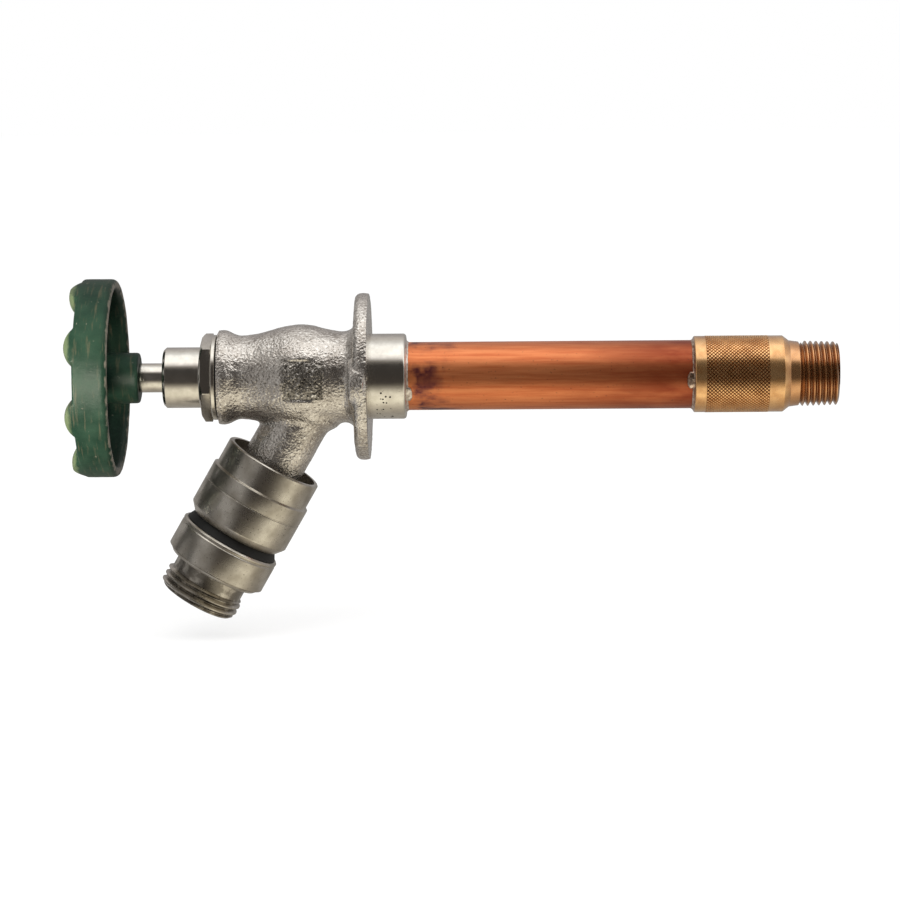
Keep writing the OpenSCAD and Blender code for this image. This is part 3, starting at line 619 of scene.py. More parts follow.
class Graph(Nodes):
    """A material's nodes while they are put together."""

    def __init__(self, name: str, axis: Axis = TUBE_AXIS) -> None:
        """Starts a material whose patterns follow an axis: local Z runs along it."""
        self.material = bpy.data.materials.new(name)
        self.material.use_nodes = True
        super().__init__(self.material.node_tree)
        self.shader = self.tree.nodes["Principled BSDF"]
        rigid = axis.matrix().inverted()
        self.place = self.node(
            "ShaderNodeMapping", Vector=self.node("ShaderNodeTexCoord").outputs["Object"],
            Location=rigid.to_translation(), Rotation=rigid.to_euler(),
        ).outputs[0]

    def set(self, **inputs: object) -> bpy.types.Material:
        """Sets or links the shader's own sockets, and gives the material."""
        for key, value in inputs.items():
            self.feed(self.shader.inputs[key.replace("_", " ")], value)
        return self.material

    def stretched(self, across: float, along: float) -> bpy.types.NodeSocket:
        """Coordinates for streaks: features this long across the axis and along it, in millimetres."""
        wide, long = 1 / (across * MM), 1 / (along * MM)
        return self.node("ShaderNodeMapping", Vector=self.place, Scale=(wide, wide, long)).outputs[0]

    def noise(self, grain: float, detail: float = 3, vector: object = None, rough: float = 0.5) -> object:
        """Noise from 0 to 1 with features of a size in millimetres, or of one unit of a given vector."""
        scale = 1 if vector else 1 / (grain * MM)
        made = self.node(
            "ShaderNodeTexNoise", Vector=vector or self.place, Scale=scale, Detail=detail, Roughness=rough,
        )
        return made.outputs["Fac"]

    def cells(self, grain: float) -> object:
        """Distance in a field of random cells of a size in millimetres."""
        made = self.node("ShaderNodeTexVoronoi", Vector=self.place, Scale=1 / (grain * MM))
        return made.outputs["Distance"]

    def zone(self, place: object, low: float, high: float, to_low: float = 0, to_high: float = 1) -> object:
        """As spread, for a place in metres with its range given in millimetres."""
        return self.spread(place, low * MM, high * MM, to_low, to_high)

    def parts(self) -> tuple[object, object, object]:
        """The place across, up and along the axis, in metres."""
        made = self.node("ShaderNodeSeparateXYZ", Vector=self.place)
        return made.outputs[0], made.outputs[1], made.outputs[2]

    def radius(self) -> tuple[object, object]:
        """The distance from the axis and the place along it, in metres."""
        across, up, along = self.parts()
        square = self.maths("ADD", self.times(across, across), self.times(up, up))
        return self.maths("SQRT", square), along

    def relief(self, *layers: tuple[object, float]) -> object:
        """A normal from layers of (height from 0 to 1, full height in millimetres)."""
        normal = None
        for height, size in layers:
            made = self.node("ShaderNodeBump", Height=height, Strength=1.0, Distance=size * MM)
            if normal:
                self.feed(made.inputs["Normal"], normal)
            normal = made.outputs["Normal"]
        return normal


@dataclass(frozen=True)
class CastNickel:
    """Nickel plate over a sand casting: coarse sparkling grain with dark pits."""

    light: Colour = (0.70, 0.66, 0.61)
    dark: Colour = (0.44, 0.40, 0.36)
    pit: Colour = (0.24, 0.215, 0.185)
    grain: float = 0.72
    relief: float = 0.26
    shine: float = 0.17
    glint: Colour = (0.86, 0.83, 0.78)

    def material(self, name: str) -> bpy.types.Material:
        """Builds the finish."""
        graph = Graph(name)
        coarse = graph.noise(self.grain, 2, rough=0.45)
        fine = graph.noise(self.grain * 0.42, 2, rough=0.5)
        broad = graph.noise(7, 3)
        colour = graph.ramp(broad, [(0.3, self.dark), (0.68, self.light)])
        colour = graph.blend(graph.spread(coarse, 0.42, 0.28), colour, self.pit)
        colour = graph.blend(graph.spread(coarse, 0.56, 0.70), colour, self.glint)
        rough = graph.spread(fine, 0.3, 0.7, self.shine - 0.04, self.shine + 0.08)
        lumps = graph.noise(2.4, 2)
        return graph.set(
            Base_Color=colour, Metallic=0.93, Roughness=rough,
            Normal=graph.relief((lumps, 0.22), (coarse, self.relief), (fine, self.relief * 0.12)),
        )


@dataclass(frozen=True)
class PolishedNickel:
    """Turned and polished nickel plate with faint tool lines and a few black pits."""

    base: Colour = (0.72, 0.69, 0.63)
    hazy: Colour = (0.60, 0.565, 0.51)
    pit: Colour = (0.03, 0.028, 0.025)
    shine: float = 0.13

    def material(self, name: str) -> bpy.types.Material:
        """Builds the finish."""
        graph = Graph(name)
        up, _, along = graph.parts()
        lines = graph.noise(1, 3, graph.stretched(6, 0.16))
        haze = graph.noise(3, 3)
        colour = graph.blend(graph.spread(haze, 0.35, 0.75), self.base, self.hazy)
        rough = graph.spread(haze, 0.3, 0.75, self.shine, self.shine + 0.11)
        spots = graph.spread(graph.cells(1.5), 0.24, 0.14)
        low = graph.times(graph.zone(up, -1.5, -4), graph.zone(along, 1.5, 3))
        holes = graph.times(spots, low, graph.zone(along, 10.5, 8.5))
        colour = graph.blend(holes, colour, self.pit)
        rough = graph.maths("ADD", rough, graph.times(holes, 0.4))
        relief = graph.relief((lines, 0.006), (graph.maths("SUBTRACT", 1.0, holes), 0.12))
        return graph.set(Base_Color=colour, Metallic=1.0, Roughness=rough, Normal=relief)


@dataclass(frozen=True)
class SatinNickel:
    """Turned satin nickel on the breaker: fine rings along its axis, slight stains, painted shade in the thread
    roots.
    """

    light: Colour = (0.60, 0.565, 0.505)
    dark: Colour = (0.42, 0.385, 0.33)
    # Colour of the painted shade under the thread's crests
    recess_shade: Colour = (0.10, 0.085, 0.068)
    speck: Colour = (0.16, 0.14, 0.12)
    neck_start: float = 73.6
    thread_r: float = 13.2
    shine: float = 0.24

    def material(self, name: str) -> bpy.types.Material:
        """Builds the finish."""
        graph = Graph(name, OUTLET_AXIS)
        radius, along = graph.radius()
        lines = graph.noise(1, 4, graph.stretched(9, 0.14), 0.7)
        stain = graph.noise(5, 4)
        colour = graph.ramp(stain, [(0.32, self.dark), (0.62, self.light)])
        specks = graph.spread(graph.noise(0.5, 3), 0.36, 0.28)
        colour = graph.blend(specks, colour, self.speck)
        # Painted shade: patchy darker colour below the thread's crests past the neck's start, in roots, plain neck
        # and bore
        root = graph.times(
            graph.zone(radius, self.thread_r, self.thread_r - 0.7),
            graph.zone(along, self.neck_start, self.neck_start + 0.2),
            graph.spread(graph.noise(2.6, 3), 0.40, 0.52, 0.1, 0.65),
        )
        colour = graph.blend(root, colour, self.recess_shade)
        rough = graph.spread(stain, 0.3, 0.7, self.shine + 0.10, self.shine)
        return graph.set(
            Base_Color=colour, Metallic=1.0, Roughness=rough,
            Normal=graph.relief((lines, 0.014), (graph.noise(0.8, 3), 0.012)),
        )


@dataclass(frozen=True)
class DrawnCopper:
    """Drawn copper tube: streaks along it, tints of heat at the front joint, darker towards the inlet."""

    bright: Colour = (0.74, 0.245, 0.092)
    deep: Colour = (0.57, 0.145, 0.048)
    dull: Colour = (0.23, 0.030, 0.008)
    heat: Colour = (0.15, 0.035, 0.036)
    speck: Colour = (0.10, 0.035, 0.02)
    hub_end: float = 12.1
    far_end: float = 105.5

    def material(self, name: str) -> bpy.types.Material:
        """Builds the finish."""
        graph = Graph(name)
        _, _, along = graph.parts()
        streaks = graph.noise(1, 4, graph.stretched(1.1, 22), 0.6)
        clouds = graph.noise(9, 4, graph.stretched(5, 13), 0.55)
        colour = graph.ramp(streaks, [(0.30, self.deep), (0.62, self.bright)])
        age = graph.zone(along, self.hub_end + 42, self.far_end - 6, 0, 0.82)
        colour = graph.blend(graph.times(age, graph.spread(clouds, 0.25, 0.6, 0.55, 1.1)), colour, self.dull)
        near = graph.maths("ADD", along, graph.spread(graph.noise(6, 3), 0.3, 0.7, -0.005, 0.005))
        hot = graph.zone(near, self.hub_end + 1.5, self.hub_end + 6)
        cool = graph.zone(near, self.hub_end + 6, self.hub_end + 16, 1, 0)
        colour = graph.blend(graph.times(hot, cool, graph.spread(clouds, 0.36, 0.56)), colour, self.heat)
        specks = graph.spread(graph.noise(0.7, 2), 0.31, 0.25)
        colour = graph.blend(graph.times(specks, 0.8), colour, self.speck)
        rough = graph.spread(clouds, 0.3, 0.7, 0.33, 0.42)
        return graph.set(
            Base_Color=colour, Metallic=0.82, Roughness=rough, Coat_Weight=0.12, Coat_Roughness=0.18,
            Normal=graph.relief((streaks, 0.012), (graph.noise(0.5, 3), 0.010), (graph.noise(6, 2), 0.05)),
        )


@dataclass(frozen=True)
class TurnedBrass:
    """Machined brass with tool rings, a light tarnish and painted shade in the knurl's grooves and thread roots.
    """

    bright: Colour = (0.84, 0.49, 0.215)
    tarnish: Colour = (0.64, 0.325, 0.120)
    # Colour of the painted shade in the knurl's grooves and the thread's roots
    recess_shade: Colour = (0.17, 0.065, 0.022)
    dim: Colour = (0.50, 0.225, 0.095)
    shine: float = 0.17
    collar_r: float = 12.5
    collar_end: float = 134.4
    thread_r: float = 10.45

    def material(self, name: str) -> bpy.types.Material:
        """Builds the finish."""
        graph = Graph(name)
        radius, along = graph.radius()
        lines = graph.noise(1, 3, graph.stretched(8, 0.18), 0.6)
        clouds = graph.noise(4, 4)
        colour = graph.ramp(clouds, [(0.34, self.tarnish), (0.58, self.bright)])
        on_neck = graph.zone(along, self.collar_end + 0.3, self.collar_end + 2)
        colour = graph.blend(graph.times(on_neck, 0.6), colour, self.dim)
        # Painted shade: darker in the knurl's grooves, and on the neck in the pipe thread's roots
        knurl = graph.times(
            graph.zone(radius, self.collar_r - 0.14, self.collar_r - 0.30),
            graph.zone(along, self.collar_end + 0.1, self.collar_end),
        )
        thread = graph.zone(radius, self.thread_r, self.thread_r - 0.7, 0, 0.5)
        recess_shade_share = graph.maths("MAXIMUM", graph.times(knurl, 0.66), graph.times(thread, on_neck))
        colour = graph.blend(recess_shade_share, colour, self.recess_shade)
        rough = graph.spread(clouds, 0.3, 0.7, self.shine + 0.12, self.shine)
        return graph.set(
            Base_Color=colour, Metallic=0.93, Roughness=rough, Coat_Weight=0.8, Coat_Roughness=0.10,
            Normal=graph.relief((lines, 0.010), (graph.noise(0.4, 3), 0.008)),
        )


@dataclass(frozen=True)
class JointMetal:
    """Solder or braze: a dull lumpy metal."""

    light: Colour
    dark: Colour
    shine: float = 0.34

    def material(self, name: str) -> bpy.types.Material:
        """Builds the finish."""
        graph = Graph(name)
        lumps = graph.noise(1.1, 4)
        return graph.set(
            Base_Color=graph.ramp(lumps, [(0.36, self.dark), (0.6, self.light)]), Metallic=1.0,
            Roughness=graph.spread(lumps, 0.3, 0.7, self.shine + 0.16, self.shine),
            Normal=graph.relief((lumps, 0.12), (graph.noise(0.3, 3), 0.03)),
        )


@dataclass(frozen=True)
class WheelPaint:
    """Satin green paint on a casting, pale rubbed rear lip, thin brown wear streaks and painted highlight on lobe
    tops.
    """

    paint: Colour = (0.004, 0.0145, 0.009)
    dusty: Colour = (0.010, 0.025, 0.016)
    rubbed: Colour = (0.20, 0.17, 0.14)
    streak: Colour = (0.050, 0.044, 0.028)
    # Pale tint of the lobe tops, a painted highlight
    edge: Colour = (0.20, 0.235, 0.125)
    chip: Colour = (0.13, 0.12, 0.10)
    rear: float = -82.0
    front: float = -93.2
    rim_r: float = 28.8

    def material(self, name: str) -> bpy.types.Material:
        """Builds the finish."""
        graph = Graph(name)
        radius, along = graph.radius()
        clouds = graph.noise(6, 4)
        colour = graph.ramp(clouds, [(0.34, self.paint), (0.70, self.dusty)])
        worn = graph.spread(graph.noise(1, 4, graph.stretched(9, 0.9), 0.6), 0.56, 0.66)
        colour = graph.blend(graph.times(worn, 0.5), colour, self.streak)
        wander = graph.spread(graph.noise(2.5, 3), 0.3, 0.7, -0.0004, 0.0004)
        place = graph.maths("ADD", along, wander)
        lip = graph.times(
            graph.zone(place, self.rear - 0.55, self.rear - 0.05),
            graph.zone(radius, self.rim_r - 0.8, self.rim_r),
        )
        colour = graph.blend(graph.times(lip, 0.6), colour, self.rubbed)
        # Painted highlight: the lobes in front of the plate are tinted paler
        lobe_highlight = graph.zone(place, self.front - 0.4, self.front - 1.6)
        colour = graph.blend(graph.times(lobe_highlight, 0.25), colour, self.edge)
        chips = graph.spread(graph.noise(1.3, 3), 0.30, 0.26)
        colour = graph.blend(graph.times(chips, 0.5), colour, self.chip)
        rough = graph.spread(clouds, 0.3, 0.7, 0.36, 0.46)
        return graph.set(
            Base_Color=colour, Roughness=rough, IOR=1.5, Specular_IOR_Level=0.13,
            Normal=graph.relief((graph.noise(2.2, 3), 0.07), (graph.noise(0.45, 2), 0.012)),
        )


@dataclass(frozen=True)
class PlainMetal:
    """A small turned or stamped part."""

    base: Colour
    worn: Colour
    shine: float = 0.28
    lines: float = 0.2

    def material(self, name: str) -> bpy.types.Material:
        """Builds the finish."""
        graph = Graph(name)
        clouds = graph.noise(2.5, 4)
        brushed = graph.noise(1, 3, graph.stretched(self.lines, 4))
        return graph.set(
            Base_Color=graph.ramp(clouds, [(0.35, self.worn), (0.6, self.base)]), Metallic=1.0,
            Roughness=graph.spread(brushed, 0.3, 0.7, self.shine + 0.1, self.shine),
            Normal=graph.relief((brushed, 0.006), (graph.noise(0.5, 2), 0.006)),
        )


@dataclass(frozen=True)
class Moulded:
    """Moulded rubber or plastic."""

    base: Colour
    worn: Colour
    rough: float
    grain: float = 0.5
    relief: float = 0.02

    def material(self, name: str) -> bpy.types.Material:
        """Builds the finish."""
        graph = Graph(name)
        clouds = graph.noise(3, 4)
        return graph.set(
            Base_Color=graph.ramp(clouds, [(0.38, self.base), (0.72, self.worn)]),
            Roughness=graph.spread(clouds, 0.3, 0.7, self.rough, self.rough + 0.12),
            Normal=graph.relief((graph.noise(self.grain, 3), self.relief)),
        )


class PaintShop:
    """Keeps one material for each slot and hands finished pieces over."""

    def __init__(self) -> None:
        """Builds the materials."""
        recipes = {
            Slot.CAST: CastNickel(),
            Slot.POLISHED: PolishedNickel(),
            Slot.SATIN: SatinNickel(),
            Slot.COPPER: DrawnCopper(),
            Slot.BRASS: TurnedBrass(),
            Slot.SOLDER: JointMetal((0.80, 0.74, 0.68), (0.48, 0.41, 0.36)),
            Slot.BRAZE: JointMetal((0.76, 0.60, 0.49), (0.36, 0.22, 0.15), 0.24),
            Slot.PAINT: WheelPaint(),
            Slot.DISC: PlainMetal((0.80, 0.80, 0.78), (0.62, 0.62, 0.60), 0.24),
            Slot.STEEL: PlainMetal((0.56, 0.56, 0.56), (0.38, 0.37, 0.36)),
            Slot.RUBBER: Moulded((0.004, 0.004, 0.004), (0.010, 0.010, 0.009), 0.55),
            Slot.PLASTIC: Moulded((0.74, 0.73, 0.68), (0.60, 0.58, 0.52), 0.38),
        }
        self.materials = {slot: recipe.material(slot.value) for slot, recipe in recipes.items()}
        # The bare field's finish: coarser grain, and darker colours that are painted shade in its recess
        self.field = CastNickel((0.42, 0.39, 0.35), (0.17, 0.155, 0.135), (0.02, 0.018, 0.015), 0.85, 0.5)

    def finish(self, piece: Piece, body: Body, slot: Slot, *nodes: str, angle: float = 32) -> None:
        """Gives a piece its material and its body, and hides the CAD nodes it stands for.

        Args:
            piece: the finished mesh, in place.
            body: the moving group it rides on.
            slot: its material slot.
            nodes: the CAD nodes that it replaces.
            angle: faces that meet at less than this are shaded smooth.
        """
        smooth(piece, angle)
        if not any(piece.data.materials):
            piece.data.materials.clear()
            piece.data.materials.append(self.materials[slot])
        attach(piece, body.value)
        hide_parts(*nodes)
        log.info("%s: %d faces, rides on %s", piece.name, len(piece.data.polygons), body.value)

    def dress_nodes(self) -> None:
        """Gives each CAD node that still shows the material of its own slot."""
        slots = {part["node"]: Slot(part["material_slot"]) for part in frame["record"]["subparts"]}
        for name, node in frame["nodes"].items():
            if node.hide_render:
                continue
            node.data.materials.clear()
            node.data.materials.append(self.materials[slots[name]])
            log.info("%s keeps its solid, in %s", name, slots[name].value)


@dataclass
class Casting:
    """Flange, belly and outlet neck, sand cast in one piece, with a machined hub behind the flange."""

    lip_d: float = 31
    lip_len: float = 1.6
    waist_d: float = 27.2
    waist_back: float = 7
    belly_d: float = 34.2
    belly_back: float = 27
    shoulder_d: float = 29.6
    shoulder_fillet: float = 3.6
    flange_thick: float = 4.4
    flange_round: float = 1.9
    pad_d: float = 15.4
    pad_high: float = 1.5
    screw_spacing: float = 40
    screw_hole_d: float = 5.2
    neck_d: float = 20.5
    neck_flare: float = 4.5
    bore_d: float = 14
    cavity_d: float = 20
    field_w: float = 14
    field_h: float = 13.6
    field_deep: float = 0.75
    field_shift: float = 1.2
    field_z: float = 0.3
    field_edge: float = 0.9
    hub_round: float = 1.0
    spare: float = 0.8
    voxel: float = 0.42
    fillet_rounds: int = 90
    socket_r: float = 11.15
    hub_wall: float = 2.8
    thread_r: float = 13.3
    thread_len: float = 10.6
    over: float = 1.0
    blend_start: float = 5.0
    blend_end: float = 25.0
    blend_fade: float = 2.5
    blend_room: float = 2.0
    blend_below: float = 8.0
    blend_flange: float = 0.6

    def __post_init__(self) -> None:
        """Takes the main stations from the frame."""
        tube = TUBE_AXIS.span("copper_tube")
        self.front = TUBE_AXIS.span("bonnet_gasket").end
        self.field_x = self.front + self.belly_back + self.field_shift
        self.socket_end = TUBE_AXIS.span("bonnet").end
        self.tube_start, self.tube_r = tube.start, tube.radius
        self.hub_end = TUBE_AXIS.span("front_solder_ring").start
        self.hub_r = self.tube_r + self.hub_wall
        self.flange_r = -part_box("valve_body")[0].y / MM
        self.spout_end = OUTLET_AXIS.span("breaker_gasket").start
        self.thread_start = self.spout_end - self.thread_len
        self.pad_top = -self.flange_thick - self.pad_high

    def outline(self) -> list[Point]:
        """Half section of the casting along the tube, a little long at both ends."""
        belly, waist = self.front + self.belly_back, self.front + self.waist_back
        shoulder = -self.flange_thick - self.shoulder_fillet
        rim = self.flange_r - self.flange_round
        flange_front = self.flange_round - self.flange_thick
        return [
            (self.spare, 0), (self.spare, self.flange_r - 0.4),
            *arc(-self.flange_round + 0.9, rim, self.flange_round, 60, 90, 3),
            *arc(flange_front, rim, self.flange_round, 90, 180),
            *arc(shoulder, self.shoulder_d / 2 + self.shoulder_fillet, self.shoulder_fillet, 0, -90),
            *swell(shoulder, self.shoulder_d / 2, belly, self.belly_d / 2),
            *swell(belly, self.belly_d / 2, waist, self.waist_d / 2),
            *swell(waist, self.waist_d / 2, self.front + self.lip_len, self.lip_d / 2, 5),
            (self.front - self.spare, self.lip_d / 2 - 0.3), (self.front - self.spare, 0),
        ]

    def spout(self) -> Piece:
        """Outlet neck with its flare under the belly."""
        neck = self.neck_d / 2
        tilt = math.asin(-OUTLET_AXIS.along.x)
        corner = (self.belly_d / 2 - neck * math.sin(tilt)) / math.cos(tilt)
        flare_t = corner + self.neck_flare / math.tan(math.pi / 4 + tilt / 2)
        flare = arc(flare_t, neck + self.neck_flare, self.neck_flare, 180 + math.degrees(tilt), 270, 8)
        end = self.thread_start + self.spare
        return turned("neck", OUTLET_AXIS, [(0, 0), (0, flare[0][1]), *flare, (end, neck), (end, 0)], 96)

    def screw_axis(self, side: int) -> Axis:
        """The line of one wall screw."""
        return Axis(Vector((0, side * self.screw_spacing / 2, 0)), TUBE_AXIS.along, TUBE_AXIS.side)

    def pad(self, side: int) -> Piece:
        """Raised pad round one screw hole."""
        return turned("pad", self.screw_axis(side), eased([
            (self.pad_top, 0), (self.pad_top, self.pad_d / 2, 0.9), (-1, self.pad_d / 2 + 0.6), (-1, 0),
        ]))

    def field_block(self) -> Piece:
        """The block that presses the bare field into the belly, curved with it."""
        deep = self.belly_d / 2
        tool = block(Vector((self.field_x, -deep, self.field_z)), Vector((self.field_w, deep, self.field_h)))
        ease_edges(tool, self.field_edge, segments=3)
        near, far = self.field_x - self.field_w, self.field_x + self.field_w
        return combine(tool, rod("core", TUBE_AXIS, near, far, deep - self.field_deep, 96), Cut.REMOVE)

    def bores(self) -> list[Piece]:
        """The machined water ways and screw holes, as solids to take away."""
        cavity, over, inner = self.cavity_d / 2, self.over, self.tube_r + TUBE_GAP
        tools = [
            turned("way", TUBE_AXIS, [
                (self.front - over, 0), (self.front - over, self.socket_r + 0.6),
                (self.front + 0.6, self.socket_r), (self.socket_end + 0.5, self.socket_r),
                (self.socket_end + 0.5, cavity), (self.tube_start, cavity),
                (self.tube_start, inner), (over, inner), (over, 0),
            ], 96),
            rod("outlet", OUTLET_AXIS, 0, self.spout_end + over, self.bore_d / 2, 96),
        ]
        top, hole = self.pad_top, self.screw_hole_d / 2
        for side in (-1, 1):
            tools.append(turned("hole", self.screw_axis(side), [
                (top - over, 0), (top - over, hole + 1), (top + 0.4, hole), (over, hole), (over, 0),
            ]))
        return tools

    def soften_neck(self, casting: Piece) -> None:
        """Draws the neck into the belly with a wide soft fillet."""
        group = casting.vertex_groups.new(name="neck_joint")
        reach = self.neck_d / 2 + self.neck_flare + self.blend_room
        for vertex in casting.data.vertices:
            place = vertex.co / MM
            offset = place - OUTLET_AXIS.origin
            down = offset.dot(OUTLET_AXIS.along)
            room = min(
                down - self.blend_start, self.blend_end - down,
                reach - (offset - OUTLET_AXIS.along * down).length, -place.z - self.blend_below,
                place.x - self.front - self.blend_room, -self.flange_thick - self.blend_flange - place.x,
            )
            if room > 0:
                group.add([vertex.index], min(1, room / self.blend_fade), "REPLACE")
        apply_modifier(casting, "SMOOTH", factor=0.5, iterations=self.fillet_rounds, vertex_group=group.name)
        casting.vertex_groups.clear()

    def cast(self) -> Piece:
        """The casting: melted together, roughened as sand leaves it, then machined."""
        body = turned("valve_casting", TUBE_AXIS, self.outline(), 120)
        casting = melt([body, self.spout(), self.pad(-1), self.pad(1)], "valve_casting", self.voxel, 5)
        self.soften_neck(casting)
        combine(casting, self.field_block(), Cut.REMOVE)
        apply_modifier(casting, "REMESH", mode="VOXEL", voxel_size=self.voxel * MM)
        apply_modifier(casting, "SMOOTH", factor=0.5, iterations=2)
        roughen(casting, "casting_lumps", 4.5, 0.34)
        roughen(casting, "casting_sand", 1.3, 0.16, 3)
        for point, normal in (
            (TUBE_AXIS.origin, TUBE_AXIS.along),
            (TUBE_AXIS.at(self.front), -TUBE_AXIS.along),
            (OUTLET_AXIS.at(self.thread_start), OUTLET_AXIS.along),
        ):
            cut_flat(casting, point, normal)
        for tool in self.bores():
            combine(casting, tool, Cut.REMOVE)
        return casting

    def field_faces(self, casting: Piece, shop: PaintShop) -> None:
        """Gives the floor of the bare field its own rougher finish, darker as painted shade for its recess."""
        casting.data.materials.clear()
        casting.data.materials.append(shop.materials[Slot.CAST])
        # Second slot: the field's darker colours, painted shade in its recess
        casting.data.materials.append(shop.field.material("cast_field_painted_shade"))
        centre, half_w, half_h = self.field_x, self.field_w / 2 - 0.5, self.field_h / 2 - 0.5

        def in_field(place: Vector, normal: Vector) -> bool:
            near = abs(place.x - centre) < half_w and abs(place.z - self.field_z) < half_h
            return near and normal.y < -0.4 and place.y < -self.cavity_d / 2 - 2

        pick_faces(casting, in_field)
        with editing(casting, "FACE", everything=False):
            casting.active_material_index = 1
            bpy.ops.object.material_slot_assign()

    def hub(self) -> Piece:
        """Turned hub that holds the tube, with its solder socket."""
        inner = self.tube_r + TUBE_GAP
        return turned("hub", TUBE_AXIS, eased([
            (0, inner), (0, self.hub_r), (self.hub_end, self.hub_r, self.hub_round),
            (self.hub_end, inner, 0.25), (0, inner),
        ]), SHOWN_STEPS)

    def spout_thread(self) -> Piece:
        """The outlet's own hose thread, inside the breaker."""
        start, end = self.thread_start, self.spout_end
        root, bore = self.thread_r - HOSE_DEEP, self.bore_d / 2
        core = turned("spout_thread", OUTLET_AXIS, [
            (start, bore), (start, root), (end, root), (end, bore), (start, bore),
        ], 72)
        return Thread(OUTLET_AXIS, start, end, self.thread_r, HOSE_DEEP, HOSE_PITCH).put_on(core, 0.8)

    def build(self, shop: PaintShop) -> None:
        """Makes and dresses the three pieces."""
        casting = self.cast()
        self.field_faces(casting, shop)
        shop.finish(casting, Body.FIXED, Slot.CAST, "valve_body", angle=50)
        shop.finish(self.hub(), Body.FIXED, Slot.POLISHED, "valve_body")
        shop.finish(self.spout_thread(), Body.FIXED, Slot.CAST, "valve_body")


@dataclass
class Bonnet:
    """Hexagon, collar and snout, turned from one bar, with the packing chamber inside."""

    hex_af: float = 25.4
    hex_thick: float = 3.5
    hex_turn: float = 15
    snout_chamfer: float = 0.9
    snout_r: float = 9.9
    packing_r: float = 7.0
    chamber_r: float = 7.5
    thread_r: float = 10.9
    edge: float = 0.22
    collar_r: float = 13.9
    collar_thick: float = 1.5
    stem_hole: float = 4.8525

    def __post_init__(self) -> None:
        """Takes the main stations from the frame."""
        whole = TUBE_AXIS.span("bonnet")
        self.front, self.back = whole.start, whole.end
        self.gasket = TUBE_AXIS.span("bonnet_gasket").start
        self.hex_back = self.gasket - self.collar_thick
        self.hex_front = self.hex_back - self.hex_thick
        self.clip = TUBE_AXIS.span("packing_clip")
        self.packing = TUBE_AXIS.span("stem_packing").start

    def bar(self) -> Piece:
        """The turned bar with its bores."""
        front, back, snout, stem = self.front, self.back, self.snout_r, self.stem_hole
        return turned("bonnet_dressed", TUBE_AXIS, eased([
            (front, stem), (front, stem + 0.5), (front, snout - 0.9, 0.15),
            (front + self.snout_chamfer, snout, 0.3), (self.hex_front - 0.5, snout, 0.4),
            (self.hex_front, snout + 0.5), (self.hex_back, snout + 0.5),
            (self.hex_back, self.collar_r, 0.3), (self.gasket, self.collar_r, 0.4),
            (self.gasket, self.thread_r), (back - 1, self.thread_r), (back, self.thread_r - 1),
            (back, self.chamber_r), *clip_groove(self.clip, self.packing_r, self.chamber_r),
            (self.packing, self.packing_r), (self.packing, stem), (front, stem),
        ]), SHOWN_STEPS)

    def hexagon(self) -> Piece:
        """The hexagon with its front corners turned off."""
        corner = self.hex_af / 2 / math.cos(math.pi / 6)
        prism = hexagon_blank(corner, self.hex_thick, self.hex_front + self.hex_thick / 2, self.hex_turn)
        settle(prism, TUBE_AXIS)
        ease_edges(prism, self.edge)
        weld(prism)
        trim = turned("trim", TUBE_AXIS, [
            (self.hex_back + 1, 0), (self.hex_back + 1, corner), (self.hex_front + 1.1, corner),
            (self.hex_front - 0.1, self.hex_af / 2 + 0.1), (self.hex_front - 0.1, 0),
        ], 120)
        combine(prism, trim, Cut.KEEP)
        bore = rod("bore", TUBE_AXIS, self.hex_front - 1, self.hex_back + 1, self.snout_r - 0.6)
        return combine(prism, bore, Cut.REMOVE)

    def build(self, shop: PaintShop) -> None:
        """Makes and dresses the bonnet."""
        bonnet = combine(self.bar(), self.hexagon(), Cut.JOIN)
        shop.finish(bonnet, Body.FIXED, Slot.POLISHED, "bonnet", angle=24)


@dataclass
class Stem:
    """The long stem: drive square, polished shank, coarse screw thread, rod and button."""

    shank_r: float = 4.7625
    thread_r: float = 7.2
    thread_root: float = 0.9
    thread_len: float = 12
    lead: float = 3
    rod_r: float = 4.0
    neck_r: float = 2.2
    button_r: float = 3.4
    button_thick: float = 1.4
    neck_len: float = 2.4
    screw_r: float = 2.15
    run_out: float = 2
    square_lap: float = 1
    packing_room: float = 8

    def __post_init__(self) -> None:
        """Takes the main stations from the frame."""
        whole = TUBE_AXIS.span("stem_rod")
        self.square_start, self.end = whole.start, whole.end
        self.shank_start = TUBE_AXIS.span("bonnet").start - self.packing_room
        self.thread_start = TUBE_AXIS.span("packing_clip").end + self.packing_room

    def build(self, shop: PaintShop) -> None:
        """Makes and dresses the stem."""
        thread_end = self.thread_start + self.thread_len
        button = self.end - self.button_thick
        rod_end = button - self.neck_len + 0.3
        root = self.thread_r - self.thread_root
        stem = turned("stem_dressed", TUBE_AXIS, eased([
            (self.shank_start, 0), (self.shank_start, self.shank_r, 0.3),
            (self.thread_start - self.thread_root, self.shank_r), (self.thread_start, root),
            (thread_end, root), (thread_end + self.run_out, self.rod_r), (rod_end, self.rod_r, 0.3),
            (rod_end, self.neck_r), (button, self.neck_r), (button, self.button_r, 0.2),
            (self.end, self.button_r, 0.2), (self.end, 0),
        ]), 96)
        square_end = self.shank_start + self.square_lap
        size = Vector((square_end - self.square_start, SQUARE_AF, SQUARE_AF))
        square = block(TUBE_AXIS.at((self.square_start + square_end) / 2), size)
        ease_edges(square, 0.3)
        combine(stem, square, Cut.JOIN)
        thread = Thread(
            TUBE_AXIS, self.thread_start, thread_end, self.thread_r, self.thread_root, self.lead,
            crest_share=0.42, base_share=0.9,
        )
        thread.put_on(stem, 0.6)
        near, far = self.square_start - self.square_lap, self.square_start + SCREW_GRIP
        combine(stem, rod("hole", TUBE_AXIS, near, far, self.screw_r), Cut.REMOVE)
        shop.finish(stem, Body.WHEEL, Slot.POLISHED, "stem_rod")


